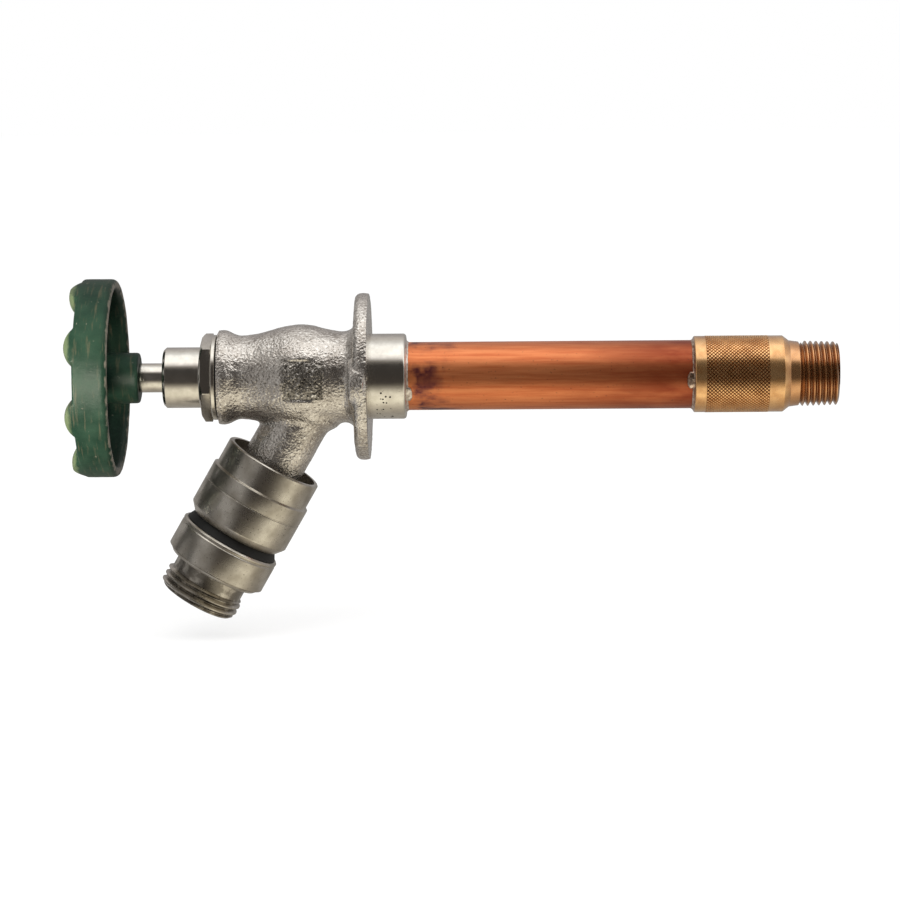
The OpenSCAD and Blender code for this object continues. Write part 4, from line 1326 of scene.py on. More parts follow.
@dataclass
class Handwheel:
    """Cast wheel with rim, front plate, domed lobes, spokes and hub, and the disc and screw in front."""

    rim_wall: float = 3.6
    rim_round: float = 1.2
    plate_thick: float = 3
    lobes: int = 8
    lobe_d: float = 12.4
    lobe_high: float = 3
    lobe_circle: float = 28.8
    lobe_turn: float = 25.5
    spokes: int = 4
    spoke_w: float = 9
    hub_r: float = 8.3
    voxel: float = 0.4
    screw_head: float = 2
    screw_head_r: float = 4.6
    screw_r: float = 2.1
    hub_proud: float = 7
    cross_wide: float = 0.9
    cross_long: float = 4.6
    cross_deep: float = 1.3
    cross_taper: float = 0.55

    def __post_init__(self) -> None:
        """Takes the main stations from the frame."""
        low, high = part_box("handwheel")
        self.radius = high.y / MM
        self.top = low.x / MM
        self.front = self.top + self.lobe_high
        self.hub_back = high.x / MM
        self.back = self.hub_back - self.hub_proud
        disc = TUBE_AXIS.span("handle_disc")
        self.disc_front, self.plate_back, self.disc_r = disc.start, disc.end, disc.radius

    def rim(self) -> Piece:
        """Rim and front plate in one ring."""
        rear, inside = self.rim_wall / 2, self.radius - self.rim_wall - 0.4
        inner = self.lobe_circle - self.lobe_d / 2
        return turned("handwheel_dressed", TUBE_AXIS, [
            (self.plate_back, inside),
            *arc(self.back - rear, self.radius - rear, rear, -90, 90, 8),
            *arc(self.front + self.rim_round, self.radius - self.rim_round, self.rim_round, 90, 180, 5),
            (self.front, inner), (self.plate_back, inner), (self.plate_back, inside),
        ], 128)

    def lobe(self, number: int) -> Piece:
        """One domed lobe, cut back at the rim."""
        half = self.lobe_d / 2
        dome = (half**2 + self.lobe_high**2) / (2 * self.lobe_high)
        tilt = math.asin(half / dome)
        turn = Matrix.Rotation(-math.radians(self.lobe_turn + 360 / self.lobes * number), 3, "X")
        centre = turn @ Vector((0, 0, self.lobe_circle))
        axis = Axis(centre, TUBE_AXIS.along, TUBE_AXIS.side)
        profile = arc(self.top + dome, 0, dome, 180, 180 - math.degrees(tilt), 10)
        return turned("lobe", axis, [*profile, (self.plate_back - 0.5, half), (self.plate_back - 0.5, 0)], 48)

    def spoke(self, number: int) -> Piece:
        """One spoke from the hub to the plate."""
        inner = self.lobe_circle - self.lobe_d / 2
        thick = self.plate_thick + 0.8
        bar = block(
            Vector((self.front + thick / 2, 0, inner / 2 + 1)), Vector((thick, self.spoke_w, inner + 2)),
        )
        ease_edges(bar, 0.8, segments=3)
        bar.rotation_euler.x = math.tau / self.spokes * number
        return settle(bar)

    def wheel(self) -> Piece:
        """The whole casting, melted together and cleaned where it meets other parts."""
        inside, seat_r = self.plate_back - 1, self.disc_r + 0.3
        hub = turned("hub", TUBE_AXIS, eased([
            (inside, 0), (inside, self.hub_r), (self.hub_back, self.hub_r, 0.8), (self.hub_back, 0),
        ]), 72)
        lobes = [self.lobe(i) for i in range(self.lobes)]
        spokes = [self.spoke(i) for i in range(self.spokes)]
        wheel = melt([self.rim(), hub, *spokes, *lobes], "handwheel_dressed", self.voxel, 5)
        roughen(wheel, "wheel_lumps", 7, 0.22)
        limit = turned("limit", TUBE_AXIS, [
            (self.top, 0), (self.top, self.radius - self.rim_round),
            (self.front + self.rim_round, self.radius), (self.back, self.radius),
            (self.back, self.hub_r + 1), (self.hub_back, self.hub_r + 1), (self.hub_back, 0),
        ], 128)
        combine(wheel, limit, Cut.KEEP)
        seat = turned("seat", TUBE_AXIS, [
            (self.top - 1, 0), (self.top - 1, self.disc_r + 1.2), (self.front, seat_r),
            (self.plate_back, seat_r), (self.plate_back, 0),
        ], 96)
        combine(wheel, seat, Cut.REMOVE)
        side = SQUARE_AF + 0.1
        size = Vector((self.hub_back - self.plate_back + 2, side, side))
        socket = block(TUBE_AXIS.at((self.plate_back + self.hub_back) / 2), size)
        return combine(wheel, socket, Cut.REMOVE)

    def disc(self) -> Piece:
        """Plain dished disc with a turned-down edge."""
        hole, front, back = self.screw_r + SCREW_GAP, self.disc_front, self.plate_back
        return turned("disc_dressed", TUBE_AXIS, eased([
            (back, hole), (front + 0.1, hole), (front + 0.1, self.screw_head_r + 0.5),
            (front, self.screw_head_r + 0.9, 0.3), (front, self.disc_r - 0.6, 0.4),
            (front + 0.3, self.disc_r, 0.2), (back, self.disc_r), (back, hole),
        ]), 120)

    def screw(self) -> Piece:
        """Domed screw with a cross recess."""
        front, tip = self.disc_front, self.disc_front + SCREW_GRIP
        top = front - self.screw_head
        dome = (self.screw_head_r**2 + self.screw_head**2) / (2 * self.screw_head)
        tilt = math.degrees(math.asin(min(1, (self.screw_head_r - 0.4) / dome)))
        screw = turned("wheel_screw", TUBE_AXIS, [
            *arc(top + dome, 0, dome, 180, 180 - tilt, 8),
            (front - 0.5, self.screw_head_r), (front, self.screw_head_r),
            (front, self.screw_r), (tip, self.screw_r), (tip, 0),
        ], 96)
        for wide, tall in ((self.cross_wide, self.cross_long), (self.cross_long, self.cross_wide)):
            bar = block(TUBE_AXIS.at(top), Vector((2 * self.cross_deep, wide, tall)))
            pick_faces(bar, lambda place, normal: normal.x > 0.5)
            with editing(bar, "FACE", everything=False):
                bpy.ops.transform.resize(value=(1, self.cross_taper, self.cross_taper))
            combine(screw, bar, Cut.REMOVE)
        return screw

    def build(self, shop: PaintShop) -> None:
        """Makes and dresses the wheel, disc and screw."""
        shop.finish(self.wheel(), Body.WHEEL, Slot.PAINT, "handwheel", angle=45)
        shop.finish(self.disc(), Body.WHEEL, Slot.DISC, "handle_disc")
        shop.finish(self.screw(), Body.WHEEL, Slot.STEEL, "handle_screw")


@dataclass
class Tube:
    """Drawn copper tube with the solder and braze at its two sockets."""

    wall: float = 1.14
    solder_wide: float = 0.9
    braze_wide: float = 0.8
    voxel: float = 0.14

    def __post_init__(self) -> None:
        """Takes the main stations from the frame."""
        self.tube = TUBE_AXIS.span("copper_tube")
        self.hub_end = TUBE_AXIS.span("front_solder_ring").start
        self.collar = TUBE_AXIS.span("rear_solder_ring").end

    def pipe(self) -> Piece:
        """The tube itself."""
        start, end, radius = self.tube.start, self.tube.end, self.tube.radius
        inner = radius - self.wall
        return turned("tube_dressed", TUBE_AXIS, eased([
            (start, inner), (start, radius, 0.2), (end, radius, 0.2), (end, inner, 0.1), (start, inner),
        ]), SHOWN_STEPS)

    def blob(self, place: float, angle: float, size: Vector) -> Piece:
        """A lump of joint metal on the tube at an angle below the near side."""
        turn = math.radians(angle)
        radius = self.tube.radius
        centre = Vector((place, -radius * math.cos(turn), -radius * math.sin(turn)))
        select_none()
        bpy.ops.mesh.primitive_uv_sphere_add(segments=32, ring_count=16, radius=MM / 2)
        lump = bpy.context.active_object
        lump.scale = size
        lump.rotation_euler.x = turn
        lump.location = centre * MM
        return settle(lump)

    def fillet(
        self, name: str, corner: float, way: int, wide: float, blobs: list[Piece],
    ) -> Piece:
        """A hollow fillet of joint metal round the tube with lumps on it.

        Args:
            name: the piece's name.
            corner: where the socket's mouth is along the tube.
            way: 1 if the fillet runs towards the inlet, -1 if away from it.
            wide: its width.
            blobs: lumps that belong to it.

        Returns:
            The finished mesh.
        """
        radius, inner = self.tube.radius, self.tube.radius - 0.3
        lap, toe = corner - way * 0.4, corner + way * wide
        ring = turned(name, TUBE_AXIS, [
            (lap, inner), (toe, inner), (toe, radius + 0.02),
            (corner + way * wide * 0.35, radius + wide * 0.35),
            (corner, radius + wide), (lap, radius + wide), (lap, inner),
        ], SHOWN_STEPS)
        joint = melt([ring, *blobs], name, self.voxel, 6)
        roughen(joint, name + "_lumps", 2.2, 0.3)
        return joint

    def build(self, shop: PaintShop) -> None:
        """Makes and dresses the tube and its two joints."""
        shop.finish(self.pipe(), Body.FIXED, Slot.COPPER, "copper_tube")
        patch = [
            self.blob(self.hub_end + 1.0, 26, Vector((2.4, 1.0, 5.2))),
            self.blob(self.hub_end + 0.5, 118, Vector((1.6, 0.9, 3.0))),
        ]
        solder = self.fillet("solder_fillet", self.hub_end, 1, self.solder_wide, patch)
        shop.finish(solder, Body.FIXED, Slot.SOLDER, "front_solder_ring", angle=60)
        lumps = [
            self.blob(self.collar - 1.2, 4, Vector((2.8, 1.3, 5.6))),
            self.blob(self.collar - 0.7, 148, Vector((2.0, 1.1, 4.4))),
        ]
        braze = self.fillet("braze_fillet", self.collar, -1, self.braze_wide, lumps)
        shop.finish(braze, Body.FIXED, Slot.BRAZE, "rear_solder_ring", angle=60)


@dataclass
class InletFitting:
    """Brass fitting: knurled collar, plain neck and taper pipe thread, with the valve seat inside."""

    collar_r: float = 12.5
    knurl_in: float = 3.6
    knurl_out: float = 4.6
    knurls: int = 64
    groove: float = 0.38
    groove_half: float = 0.16
    band_drop: float = 0.07
    band_lap: float = 0.2
    chamfer: float = 2.1
    chamfer_r: float = 10.8
    neck_len: float = 5.6
    pipe_r: float = 10.67
    pipe_deep: float = 1.2
    pipe_pitch: float = 1.814
    pipe_taper: float = 1 / 32
    socket_r: float = 7.975
    socket_len: float = 12.7
    seat_r: float = 5.0
    seat_land: float = 1.1
    seat_high: float = 1.0
    seat_deep: float = 7.5
    chamber_r: float = 9.47
    pipe_len: float = 12.4
    band_wall: float = 0.6

    def __post_init__(self) -> None:
        """Takes the main stations from the frame."""
        whole = TUBE_AXIS.span("inlet_fitting")
        tube = TUBE_AXIS.span("copper_tube")
        self.start, self.end = whole.start, whole.end
        self.pipe_start = self.end - self.pipe_len
        self.collar_end = self.pipe_start - self.neck_len
        self.tube_end, self.tube_r = tube.end, tube.radius + TUBE_GAP
        self.seat = self.tube_end + self.seat_deep

    def bar(self) -> Piece:
        """The turned bar with its bores, thinner where the knurled band goes."""
        low, plain = self.collar_r - self.groove - 0.05, self.collar_r - self.band_drop
        knurl_start = self.start + self.knurl_in + self.band_lap
        knurl_end = self.collar_end - self.knurl_out - self.band_lap
        root = self.pipe_r - self.pipe_deep
        land = self.seat_r + self.seat_land
        floor = self.seat + self.seat_high
        start, end, collar, mouth = self.start, self.end, self.collar_end, self.end - self.socket_len
        return turned("fitting_dressed", TUBE_AXIS, eased([
            (start, self.tube_r), (start, plain, 0.5), (knurl_start, plain),
            (knurl_start, low), (knurl_end, low), (knurl_end, plain),
            (collar, plain, 0.5), (collar + self.chamfer, self.chamfer_r, 0.5),
            (self.pipe_start - 0.4, self.chamfer_r - 0.4, 0.3), (self.pipe_start, root),
            (end - 0.3, root - 0.39), (end, root - 0.7), (end, self.socket_r + 0.25),
            (end - 0.25, self.socket_r), (mouth, self.socket_r),
            (mouth, self.seat_r), (self.seat, self.seat_r, 0.3), (self.seat, land, 0.3),
            (floor, land), (floor, self.chamber_r), (self.tube_end, self.chamber_r),
            (self.tube_end, self.tube_r), (start, self.tube_r),
        ]), SHOWN_STEPS)

    def knurl(self) -> Piece:
        """The knurled band: crossing grooves that leave small flat diamonds."""
        pitch = math.tau * self.collar_r / self.knurls
        length = self.collar_end - self.knurl_out - self.start - self.knurl_in
        rows = round(length / pitch)
        step = length / rows * MM
        base = self.collar_r - self.groove
        select_none()
        bpy.ops.mesh.primitive_circle_add(vertices=self.knurls, radius=base * MM, fill_type="NOTHING")
        band = bpy.context.active_object
        with editing(band):
            for _ in range(rows):
                bpy.ops.mesh.extrude_region_move(TRANSFORM_OT_translate={"value": (0, 0, step)})
            bpy.ops.mesh.select_all(action="SELECT")
            bpy.ops.mesh.normals_make_consistent(inside=False)
            bpy.ops.mesh.poke()
        self.pick_lattice(band, length * MM)
        with editing(band, "EDGE", everything=False):
            bpy.ops.mesh.dissolve_edges(use_verts=False, use_face_split=False)
        with editing(band, "FACE"):
            bpy.ops.mesh.inset(
                thickness=self.groove_half * MM, depth=self.groove * MM, use_individual=True,
                use_boundary=True, use_even_offset=True,
            )
        return self.closed(band, base)

    def pick_lattice(self, band: Piece, length: float) -> None:
        """Selects the level and upright edges, except at the two ends."""
        mesh = band.data
        for item in (*mesh.vertices, *mesh.polygons):
            item.select = False
        for edge in mesh.edges:
            first, second = (mesh.vertices[i].co for i in edge.vertices)
            level, upright = abs(second.z - first.z) < WELD, (second - first).xy.length < WELD
            at_end = level and (first.z < WELD or first.z > length - WELD)
            edge.select = (level or upright) and not at_end

    def closed(self, band: Piece, base: float) -> Piece:
        """Closes the band into a solid ring and puts it in place."""
        inner = (base - self.band_wall) / base
        with editing(band, "EDGE"):
            bpy.ops.mesh.select_all(action="DESELECT")
            bpy.ops.mesh.select_non_manifold(
                extend=False, use_wire=False, use_boundary=True, use_multi_face=False,
                use_non_contiguous=False, use_verts=False,
            )
            bpy.ops.mesh.extrude_edges_move()
            bpy.ops.transform.resize(value=(inner, inner, 1), center_override=(0, 0, 0))
            bpy.ops.mesh.bridge_edge_loops()
            bpy.ops.mesh.select_all(action="SELECT")
            bpy.ops.transform.translate(value=(0, 0, (self.start + self.knurl_in) * MM))
        settle(band, TUBE_AXIS)
        weld(band)
        return band

    def build(self, shop: PaintShop) -> None:
        """Makes and dresses the fitting."""
        fitting = combine(self.bar(), self.knurl(), Cut.JOIN)
        thread = Thread(
            TUBE_AXIS, self.pipe_start, self.end,
            self.pipe_r, self.pipe_deep, self.pipe_pitch, self.pipe_taper,
        )
        thread.put_on(fitting, 0.7)
        shop.finish(fitting, Body.FIXED, Slot.BRASS, "inlet_fitting", angle=28)


@dataclass
class Breaker:
    """Upper half of the breaker, with the rubber vent seal under it."""

    rim_r: float = 16.4
    rim_len: float = 8.6
    lip_wall: float = 1.5
    band_r: float = 17.3
    length: float = 26.4
    bevel: float = 2.6
    face_r: float = 15.2
    groove_down: float = 14.3
    groove_wide: float = 0.5
    groove_deep: float = 0.22
    socket_r: float = 13.55
    thread_down: float = 4.8
    web_down: float = 17.4
    web_thick: float = 2.0
    seat_r: float = 6.2
    chamber_r: float = 13.0
    screw_r: float = 2.05
    screw_down: float = 11.6
    screw_inset: float = 0.5
    key_r: float = 1.15
    seal_bore: float = 11.25

    def __post_init__(self) -> None:
        """Takes the main stations from the frame."""
        self.start = OUTLET_AXIS.span("breaker_body").start
        self.clip = OUTLET_AXIS.span("sleeve_clip")
        self.seal = OUTLET_AXIS.span("vent_seal")

    def upper(self) -> Piece:
        """The turned rim, band and chamber, with the set screw's hole."""
        top, end, rim, outer = self.start, self.start + self.length, self.rim_r, self.band_r
        band, line, web = top + self.rim_len, top + self.groove_down, top + self.web_down
        mouth, deep = rim - self.lip_wall, top + self.thread_down - 1
        floor, line_end, web_end = outer - self.groove_deep, line + self.groove_wide, web + self.web_thick
        piece = turned("breaker_dressed", OUTLET_AXIS, eased([
            (top, mouth), (top, mouth + 0.3, 0.1), (top, rim - 0.35), (top + 0.35, rim, 0.25),
            (band, rim, 0.06), (band + 0.5, outer, 0.1), (line, outer, 0.1), (line + 0.1, floor, 0.08),
            (line_end - 0.1, floor, 0.08), (line_end, outer, 0.1),
            (end - self.bevel, outer, 0.6), (end - 0.15, self.face_r + 0.1, 0.3),
            (end, self.face_r - 0.2), (end, self.chamber_r + 0.3), (end - 0.3, self.chamber_r),
            *clip_groove(self.clip, self.chamber_r, self.chamber_r), (web_end, self.chamber_r),
            (web_end, self.seat_r, 0.3), (web, self.seat_r), (web, self.socket_r),
            (deep, self.socket_r), (deep, mouth), (top, mouth),
        ]), SHOWN_STEPS)
        hole = self.cross_rod(self.socket_r - 1, self.band_r + 1, self.screw_r)
        return combine(piece, hole, Cut.REMOVE)

    def screw_axis(self) -> Axis:
        """The set screw's axis, towards the far side."""
        return Axis(OUTLET_AXIS.at(self.start + self.screw_down), Vector((0, 1, 0)), OUTLET_AXIS.along)

    def cross_rod(self, near: float, far: float, radius: float) -> Piece:
        """A rod across the wall at the set screw, on the far side."""
        return rod("rod", self.screw_axis(), near, far, radius, 48)

    def set_screw(self) -> Piece:
        """Grub screw with a hexagon socket."""
        outer = self.band_r - self.screw_inset
        screw = self.cross_rod(self.socket_r + SCREW_GAP, outer, self.screw_r - SCREW_GAP)
        screw.name = "grub_screw"
        ease_edges(screw, 0.2, angle=60)
        weld(screw)
        key = settle(hexagon_blank(self.key_r, 4, outer), self.screw_axis())
        weld(key)
        return combine(screw, key, Cut.REMOVE)

    def vent_seal(self) -> Piece:
        """Rubber ring between the two halves, a skirt that widens down to the lower ring."""
        start, end, radius = self.seal.start, self.seal.end + RUBBER_SKIRT, self.seal.radius
        inner = self.seal_bore
        return turned("vent_rubber", OUTLET_AXIS, eased([
            (start, inner), (start, self.face_r - 0.5, 0.2), (end - 0.5, radius - 0.35, 0.6),
            (end, radius - 0.1, 0.1), (end, inner), (start, inner),
        ]), SHOWN_STEPS)

    def build(self, shop: PaintShop) -> None:
        """Makes and dresses the upper half, its set screw and the seal."""
        shop.finish(self.upper(), Body.FIXED, Slot.SATIN, "breaker_body", angle=28)
        shop.finish(self.set_screw(), Body.FIXED, Slot.STEEL, "breaker_set_screw")
        shop.finish(self.vent_seal(), Body.SLEEVE, Slot.RUBBER, "vent_seal")


@dataclass
class DrainSleeve:
    """Lower half of the breaker: ring, spigot and the hose nipple with its thread."""

    ring_r: float = 17.1
    bevel: float = 0.5
    groove_down: float = 1.0
    groove_wide: float = 0.8
    groove_deep: float = 0.45
    ring_len: float = 12.1
    foot: float = 1.5
    foot_groove_wide: float = 0.35
    foot_groove_deep: float = 1.0
    foot_inset: float = 0.75
    foot_r: float = 15.2
    neck_r: float = 12.4
    neck_len: float = 4.6
    hose_r: float = 13.49
    bore_r: float = 9.2
    web_down: float = 2.6
    web_thick: float = 2
    seat_r: float = 5.6
    mouth_r: float = 9.6
    spigot_r: float = 11.2
    stop_r: float = 12.7
    stop_thick: float = 1.6
    ports: int = 4
    port_r: float = 1.0
    guide_land: float = 2

    def __post_init__(self) -> None:
        """Takes the main stations from the frame."""
        whole = OUTLET_AXIS.span("drain_sleeve")
        self.top, self.end = whole.start, whole.end
        self.ring = OUTLET_AXIS.span("vent_seal").end + RUBBER_SKIRT
        self.clip = OUTLET_AXIS.span("guide_clip")
        self.ring_end = self.ring + self.ring_len
        self.thread_start = self.ring_end + self.neck_len
        self.stop_end = self.top + self.stop_thick
        self.port = OUTLET_AXIS.span("sleeve_clip").end - self.port_r

    def bar(self) -> Piece:
        """The turned part with its bores."""
        top, ring, outer, bore, mouth = self.top, self.ring, self.ring_r, self.bore_r, self.mouth_r
        web, root = ring + self.web_down, self.hose_r - HOSE_DEEP
        seat = web + self.web_thick
        line = ring + self.groove_down
        foot = self.ring_end - self.foot
        lip, lip_r = foot + self.foot_groove_wide, outer - self.foot_inset
        deep = outer - self.foot_groove_deep
        guide = self.clip.start - self.guide_land
        return turned("sleeve_dressed", OUTLET_AXIS, eased([
            (top, bore), (top, self.stop_r, 0.2), (self.stop_end, self.stop_r, 0.2),
            (self.stop_end, self.spigot_r), (ring, self.spigot_r),
            (ring, outer - self.bevel, 0.05), (ring + self.bevel, outer, 0.06),
            (line, outer, 0.15), (line + 0.3, outer - self.groove_deep, 0.3),
            (line + self.groove_wide, outer, 0.4), (foot, outer, 0.15), (foot, deep), (lip, deep),
            (lip, lip_r, 0.06), (self.ring_end, self.foot_r, 0.2), (self.ring_end, self.neck_r, 0.3),
            (self.thread_start, self.neck_r), (self.thread_start, root), (self.end - 0.2, root),
            (self.end, root - 0.3), (self.end, mouth + 0.25), (self.end - 0.25, mouth),
            *clip_groove(self.clip, mouth, mouth), (guide, mouth),
            (guide, bore), (seat, bore), (seat, self.seat_r, 0.2), (web, self.seat_r, 0.2),
            (web, bore), (top, bore),
        ]), SHOWN_STEPS)

    def port_rod(self, number: int) -> Piece:
        """The small drain hole through the spigot's wall."""
        turn = Matrix.Rotation(math.tau * (number + 0.5) / self.ports, 3, OUTLET_AXIS.along)
        across = Axis(OUTLET_AXIS.at(self.port), turn @ OUTLET_AXIS.side, OUTLET_AXIS.along)
        return rod("port", across, self.bore_r - 1, self.spigot_r + 1, self.port_r, 32)

    def build(self, shop: PaintShop) -> None:
        """Makes and dresses the sleeve."""
        sleeve = self.bar()
        for number in range(self.ports):
            combine(sleeve, self.port_rod(number), Cut.REMOVE)
        thread = Thread(OUTLET_AXIS, self.thread_start, self.end, self.hose_r, HOSE_DEEP, HOSE_PITCH)
        thread.put_on(sleeve, 1.5)
        shop.finish(sleeve, Body.SLEEVE, Slot.SATIN, "drain_sleeve", angle=28)


@dataclass
class CheckSprings:
    """The two coil springs that close the checks."""

    wire_r: float = 0.4
    mean_r: float = 5.2
    curls: int = 5
    steps: int = 40
    sides: int = 10
    travel: float = 2.5

    def coil(self, node: str, name: str) -> tuple[Piece, Span]:
        """One coil where its CAD node is, with closed ends."""
        span = OUTLET_AXIS.span(node)
        select_none()
        bpy.ops.mesh.primitive_circle_add(vertices=self.sides, radius=self.wire_r * MM, fill_type="NOTHING")
        spring = bpy.context.active_object
        spring.name = name
        with editing(spring):
            bpy.ops.transform.rotate(value=math.pi / 2, orient_axis="X", center_override=(0, 0, 0))
            bpy.ops.transform.translate(value=(self.mean_r * MM, 0, (span.start + self.wire_r) * MM))
        rise = (span.end - span.start - 2 * self.wire_r) * MM / self.curls
        steps = self.steps * self.curls
        apply_modifier(
            spring, "SCREW", angle=math.tau * self.curls, screw_offset=rise * self.curls,
            steps=steps, render_steps=steps, use_smooth_shade=False,
        )
        with editing(spring):
            bpy.ops.mesh.fill_holes(sides=0)
        settle(spring, OUTLET_AXIS)
        weld(spring)
        return spring, span

    def build(self, shop: PaintShop) -> None:
        """Makes and dresses both springs."""
        for order in ("first", "second"):
            node = f"{order}_check_spring"
            spring, span = self.coil(node, f"{order}_coil")
            shop.finish(spring, Body.SLEEVE, Slot.STEEL, node)
            anchor = OUTLET_AXIS.at(span.end) * MM
            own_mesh(spring)


@dataclass
class DrainSpring:
    """The flat wave spring that pulls the sleeve back up."""

    wire_r: float = 0.25
    mean_r: float = 12.1
    waves: int = 3
    steps: int = 108
    sides: int = 10
    travel: float = 1.6

    def build(self, shop: PaintShop) -> None:
        """Makes and dresses the spring."""
        node = "drain_spring"
        span = OUTLET_AXIS.span(node)
        length = span.end - span.start
        sway, middle = length / 2 - self.wire_r, (span.start + span.end) / 2
        select_none()
        bpy.ops.mesh.primitive_torus_add(
            major_segments=self.steps, minor_segments=self.sides,
            major_radius=self.mean_r * MM, minor_radius=self.wire_r * MM,
        )
        spring = bpy.context.active_object
        spring.name = "wave_spring"
        for vertex in spring.data.vertices:
            turn = math.atan2(vertex.co.y, vertex.co.x)
            vertex.co.z += (middle + sway * math.cos(self.waves * turn)) * MM
        settle(spring, OUTLET_AXIS)
        weld(spring)
        shop.finish(spring, Body.FIXED, Slot.STEEL, node)
        anchor = OUTLET_AXIS.at(span.end) * MM
        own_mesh(spring)


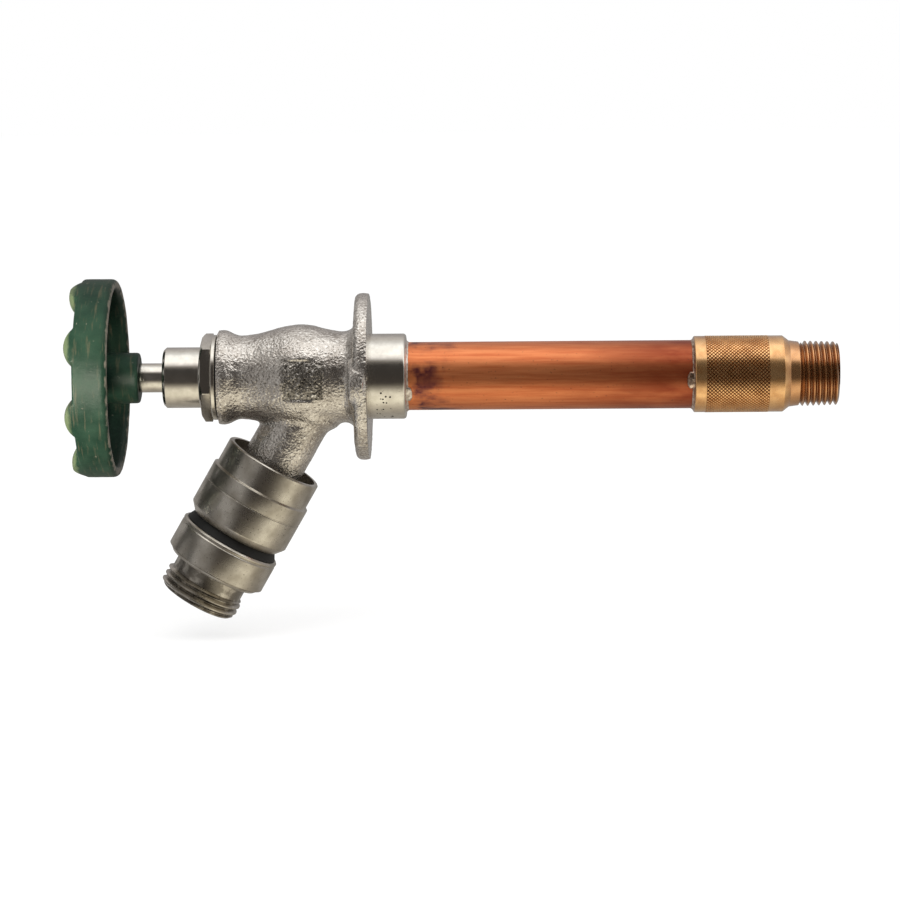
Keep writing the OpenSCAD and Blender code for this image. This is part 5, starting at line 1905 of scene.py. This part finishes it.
@dataclass
class Studio:
    """Plain pale floor, soft light all round with a dark side towards the camera, and the camera.

    Places and sizes are in metres here, shades are (degrees round the part, or place along it, and colour).
    """

    floor_z: float = -0.086
    target: Vector = Vector((0.02607, 0, -0.02442))
    distance: float = 1.0
    azimuth: float = 1.09
    elevation: float = 7.5
    roll: float = -0.52
    lens: float = 122.2
    clip: tuple[float, float] = (0.05, 20)
    floor_size: float = 12
    plain: float = 0.82
    shades: tuple[tuple[float, Colour], ...] = (
        (-180, (0.36, 0.35, 0.34)),
        (-115, (0.40, 0.37, 0.32)),
        (-94, (0.56, 0.51, 0.42)),
        (-80, (0.78, 0.71, 0.58)),
        (-64, (1.14, 1.07, 0.87)),
        (-42, (1.04, 0.97, 0.80)),
        (-24, (0.30, 0.27, 0.22)),
        (-14, (0.06, 0.052, 0.046)),
        (38, (0.046, 0.042, 0.039)),
        (48, (0.22, 0.20, 0.18)),
        (58, (1.26, 1.22, 1.20)),
        (68, (1.62, 1.60, 1.56)),
        (96, (1.55, 1.56, 1.56)),
        (108, (1.02, 1.02, 1.02)),
        (124, (0.68, 0.65, 0.63)),
        (150, (0.44, 0.42, 0.42)),
        (180, (0.36, 0.35, 0.34)),
    )
    side_shades: tuple[tuple[float, Colour], ...] = (
        (-1.0, (0.44, 0.43, 0.42)),
        (-0.965, (0.42, 0.41, 0.40)),
        (-0.945, (0.05, 0.05, 0.05)),
        (-0.875, (0.05, 0.05, 0.05)),
        (-0.85, (0.40, 0.39, 0.38)),
        (0.6, (0.44, 0.42, 0.40)),
        (1.0, (0.50, 0.48, 0.46)),
    )
    # Where across the light the side shades take over, at the wheel's end and at the inlet's
    wheel_side: tuple[float, float] = (-0.26, -0.48)
    inlet_side: tuple[float, float] = (0.84, 0.97)
    floor_colour: Colour = (0.80, 0.79, 0.77)
    floor_matt: float = 0.40
    floor_glow: float = 0.675

    def direction(self) -> Vector:
        """From the target to the camera."""
        turn, rise = math.radians(self.azimuth), math.radians(self.elevation)
        return Vector((math.sin(turn) * math.cos(rise), -math.cos(turn) * math.cos(rise), math.sin(rise)))

    def place_camera(self) -> None:
        """Puts the camera at the photograph's angle."""
        camera = bpy.data.objects.new("camera", bpy.data.cameras.new("camera"))
        bpy.context.scene.collection.objects.link(camera)
        camera.data.lens = self.lens
        camera.data.clip_start, camera.data.clip_end = self.clip
        direction = self.direction()
        camera.location = self.target + direction * self.distance
        roll = Matrix.Rotation(math.radians(self.roll), 3, "Z")
        camera.rotation_euler = (direction.to_track_quat("Z", "Y").to_matrix() @ roll).to_euler()
        bpy.context.scene.camera = camera

    def light_world(self) -> None:
        """World light: white to the camera, even to matt surfaces, and studio shades in reflections."""
        world = bpy.data.worlds.new("studio")
        bpy.context.scene.world = world
        world.use_nodes = True
        nodes = Nodes(world.node_tree)
        path = nodes.node("ShaderNodeLightPath").outputs
        place = nodes.node("ShaderNodeTexCoord").outputs["Generated"]
        parts = nodes.node("ShaderNodeSeparateXYZ", Vector=place).outputs
        aside = parts["X"]
        angle = nodes.maths("ARCTAN2", parts["Z"], nodes.times(parts["Y"], -1))
        turn = nodes.maths("ADD", nodes.maths("DIVIDE", angle, math.tau), 0.5)
        shaded = nodes.ramp(turn, [(degrees / 360 + 0.5, colour) for degrees, colour in self.shades])
        across = nodes.maths("ADD", nodes.times(aside, 0.5), 0.5)
        sides = nodes.ramp(across, [(x / 2 + 0.5, colour) for x, colour in self.side_shades])
        at_wheel, at_inlet = nodes.spread(aside, *self.wheel_side), nodes.spread(aside, *self.inlet_side)
        shaded = nodes.blend(nodes.maths("MAXIMUM", at_wheel, at_inlet), shaded, sides)
        lit = nodes.blend(path["Is Diffuse Ray"], shaded, (self.plain,) * 3)
        seen = nodes.maths("MAXIMUM", path["Is Camera Ray"], path["Is Transmission Ray"])
        nodes.feed(nodes.tree.nodes["Background"].inputs["Color"], nodes.blend(seen, lit, (1, 1, 1)))

    def lay_floor(self) -> None:
        """Pale floor that keeps the object's shadow."""
        select_none()
        bpy.ops.mesh.primitive_plane_add(size=self.floor_size, location=(0, 0, self.floor_z))
        floor = bpy.context.active_object
        floor.name = "floor"
        material = bpy.data.materials.new("pale_floor")
        material.use_nodes = True
        nodes = Nodes(material.node_tree)
        nodes.tree.nodes.remove(nodes.tree.nodes["Principled BSDF"])
        matt = nodes.node("ShaderNodeBsdfDiffuse", Color=(self.floor_matt,) * 3)
        glow = nodes.node("ShaderNodeEmission", Color=(1, 1, 1), Strength=self.floor_glow)
        both = nodes.join("ShaderNodeAddShader", matt.outputs[0], glow.outputs[0])
        plain = nodes.node("ShaderNodeBsdfDiffuse", Color=self.floor_colour)
        camera_ray = nodes.node("ShaderNodeLightPath").outputs["Is Camera Ray"]
        pick = nodes.join("ShaderNodeMixShader", camera_ray, plain.outputs[0], both.outputs[0])
        nodes.feed(nodes.tree.nodes["Material Output"].inputs["Surface"], pick.outputs[0])
        floor.data.materials.append(material)
        floor.visible_glossy = False

    def hang_lamps(self, wheel: Piece) -> None:
        """Two large soft lamps above, kept out of reflections, and two low ones for the wheel alone.

        Args:
            wheel: the only piece that the low lamps light.
        """
        white, cream = (1.0, 1.0, 1.0), (1.0, 0.96, 0.80)
        lit = bpy.data.collections.new("lit_by_wheel_lamps")
        lit.objects.link(wheel)
        for name, place, size, power, colour, wheel_only in (
            ("key_lamp", Vector((-0.35, -0.55, 0.75)), 0.6, 3.4, white, False),
            ("fill_lamp", Vector((0.55, -0.35, 0.60)), 0.6, 1.6, white, False),
            ("wheel_lamp", Vector((-0.25, -0.85, -0.05)), 0.5, 20.0, cream, True),
            ("lobe_lamp", Vector((-0.75, -0.55, -0.10)), 0.3, 14.0, cream, True),
        ):
            light = bpy.data.lights.new(name, "AREA")
            light.size, light.energy, light.color = size, power, colour
            lamp = bpy.data.objects.new(name, light)
            bpy.context.scene.collection.objects.link(lamp)
            lamp.location = place
            lamp.rotation_euler = (place - self.target).to_track_quat("Z", "Y").to_euler()
            lamp.visible_glossy = wheel_only
            lamp.visible_camera = False
            if wheel_only:
                lamp.light_linking.receiver_collection = lit
                lamp.light_linking.blocker_collection = lit

    def build(self) -> None:
        """Sets the whole stage."""
        bpy.context.scene.view_settings.view_transform = "Standard"
        self.light_world()
        self.lay_floor()
        self.hang_lamps(bpy.data.objects["handwheel_dressed"])
        self.place_camera()


def main() -> None:
    """Builds the sub-assemblies in order."""
    logging.basicConfig(level=logging.INFO, format="%(message)s")
    shop = PaintShop()
    for assembly in (
        Casting(), Bonnet(), Stem(), Handwheel(), Tube(), InletFitting(),
        Breaker(), DrainSleeve(), CheckSprings(), DrainSpring(),
    ):
        began = time.monotonic()
        assembly.build(shop)
        log.info("%s took %.1f s", type(assembly).__name__, time.monotonic() - began)
    shop.dress_nodes()
    Studio().build()


if __name__ == "__main__":
    main()
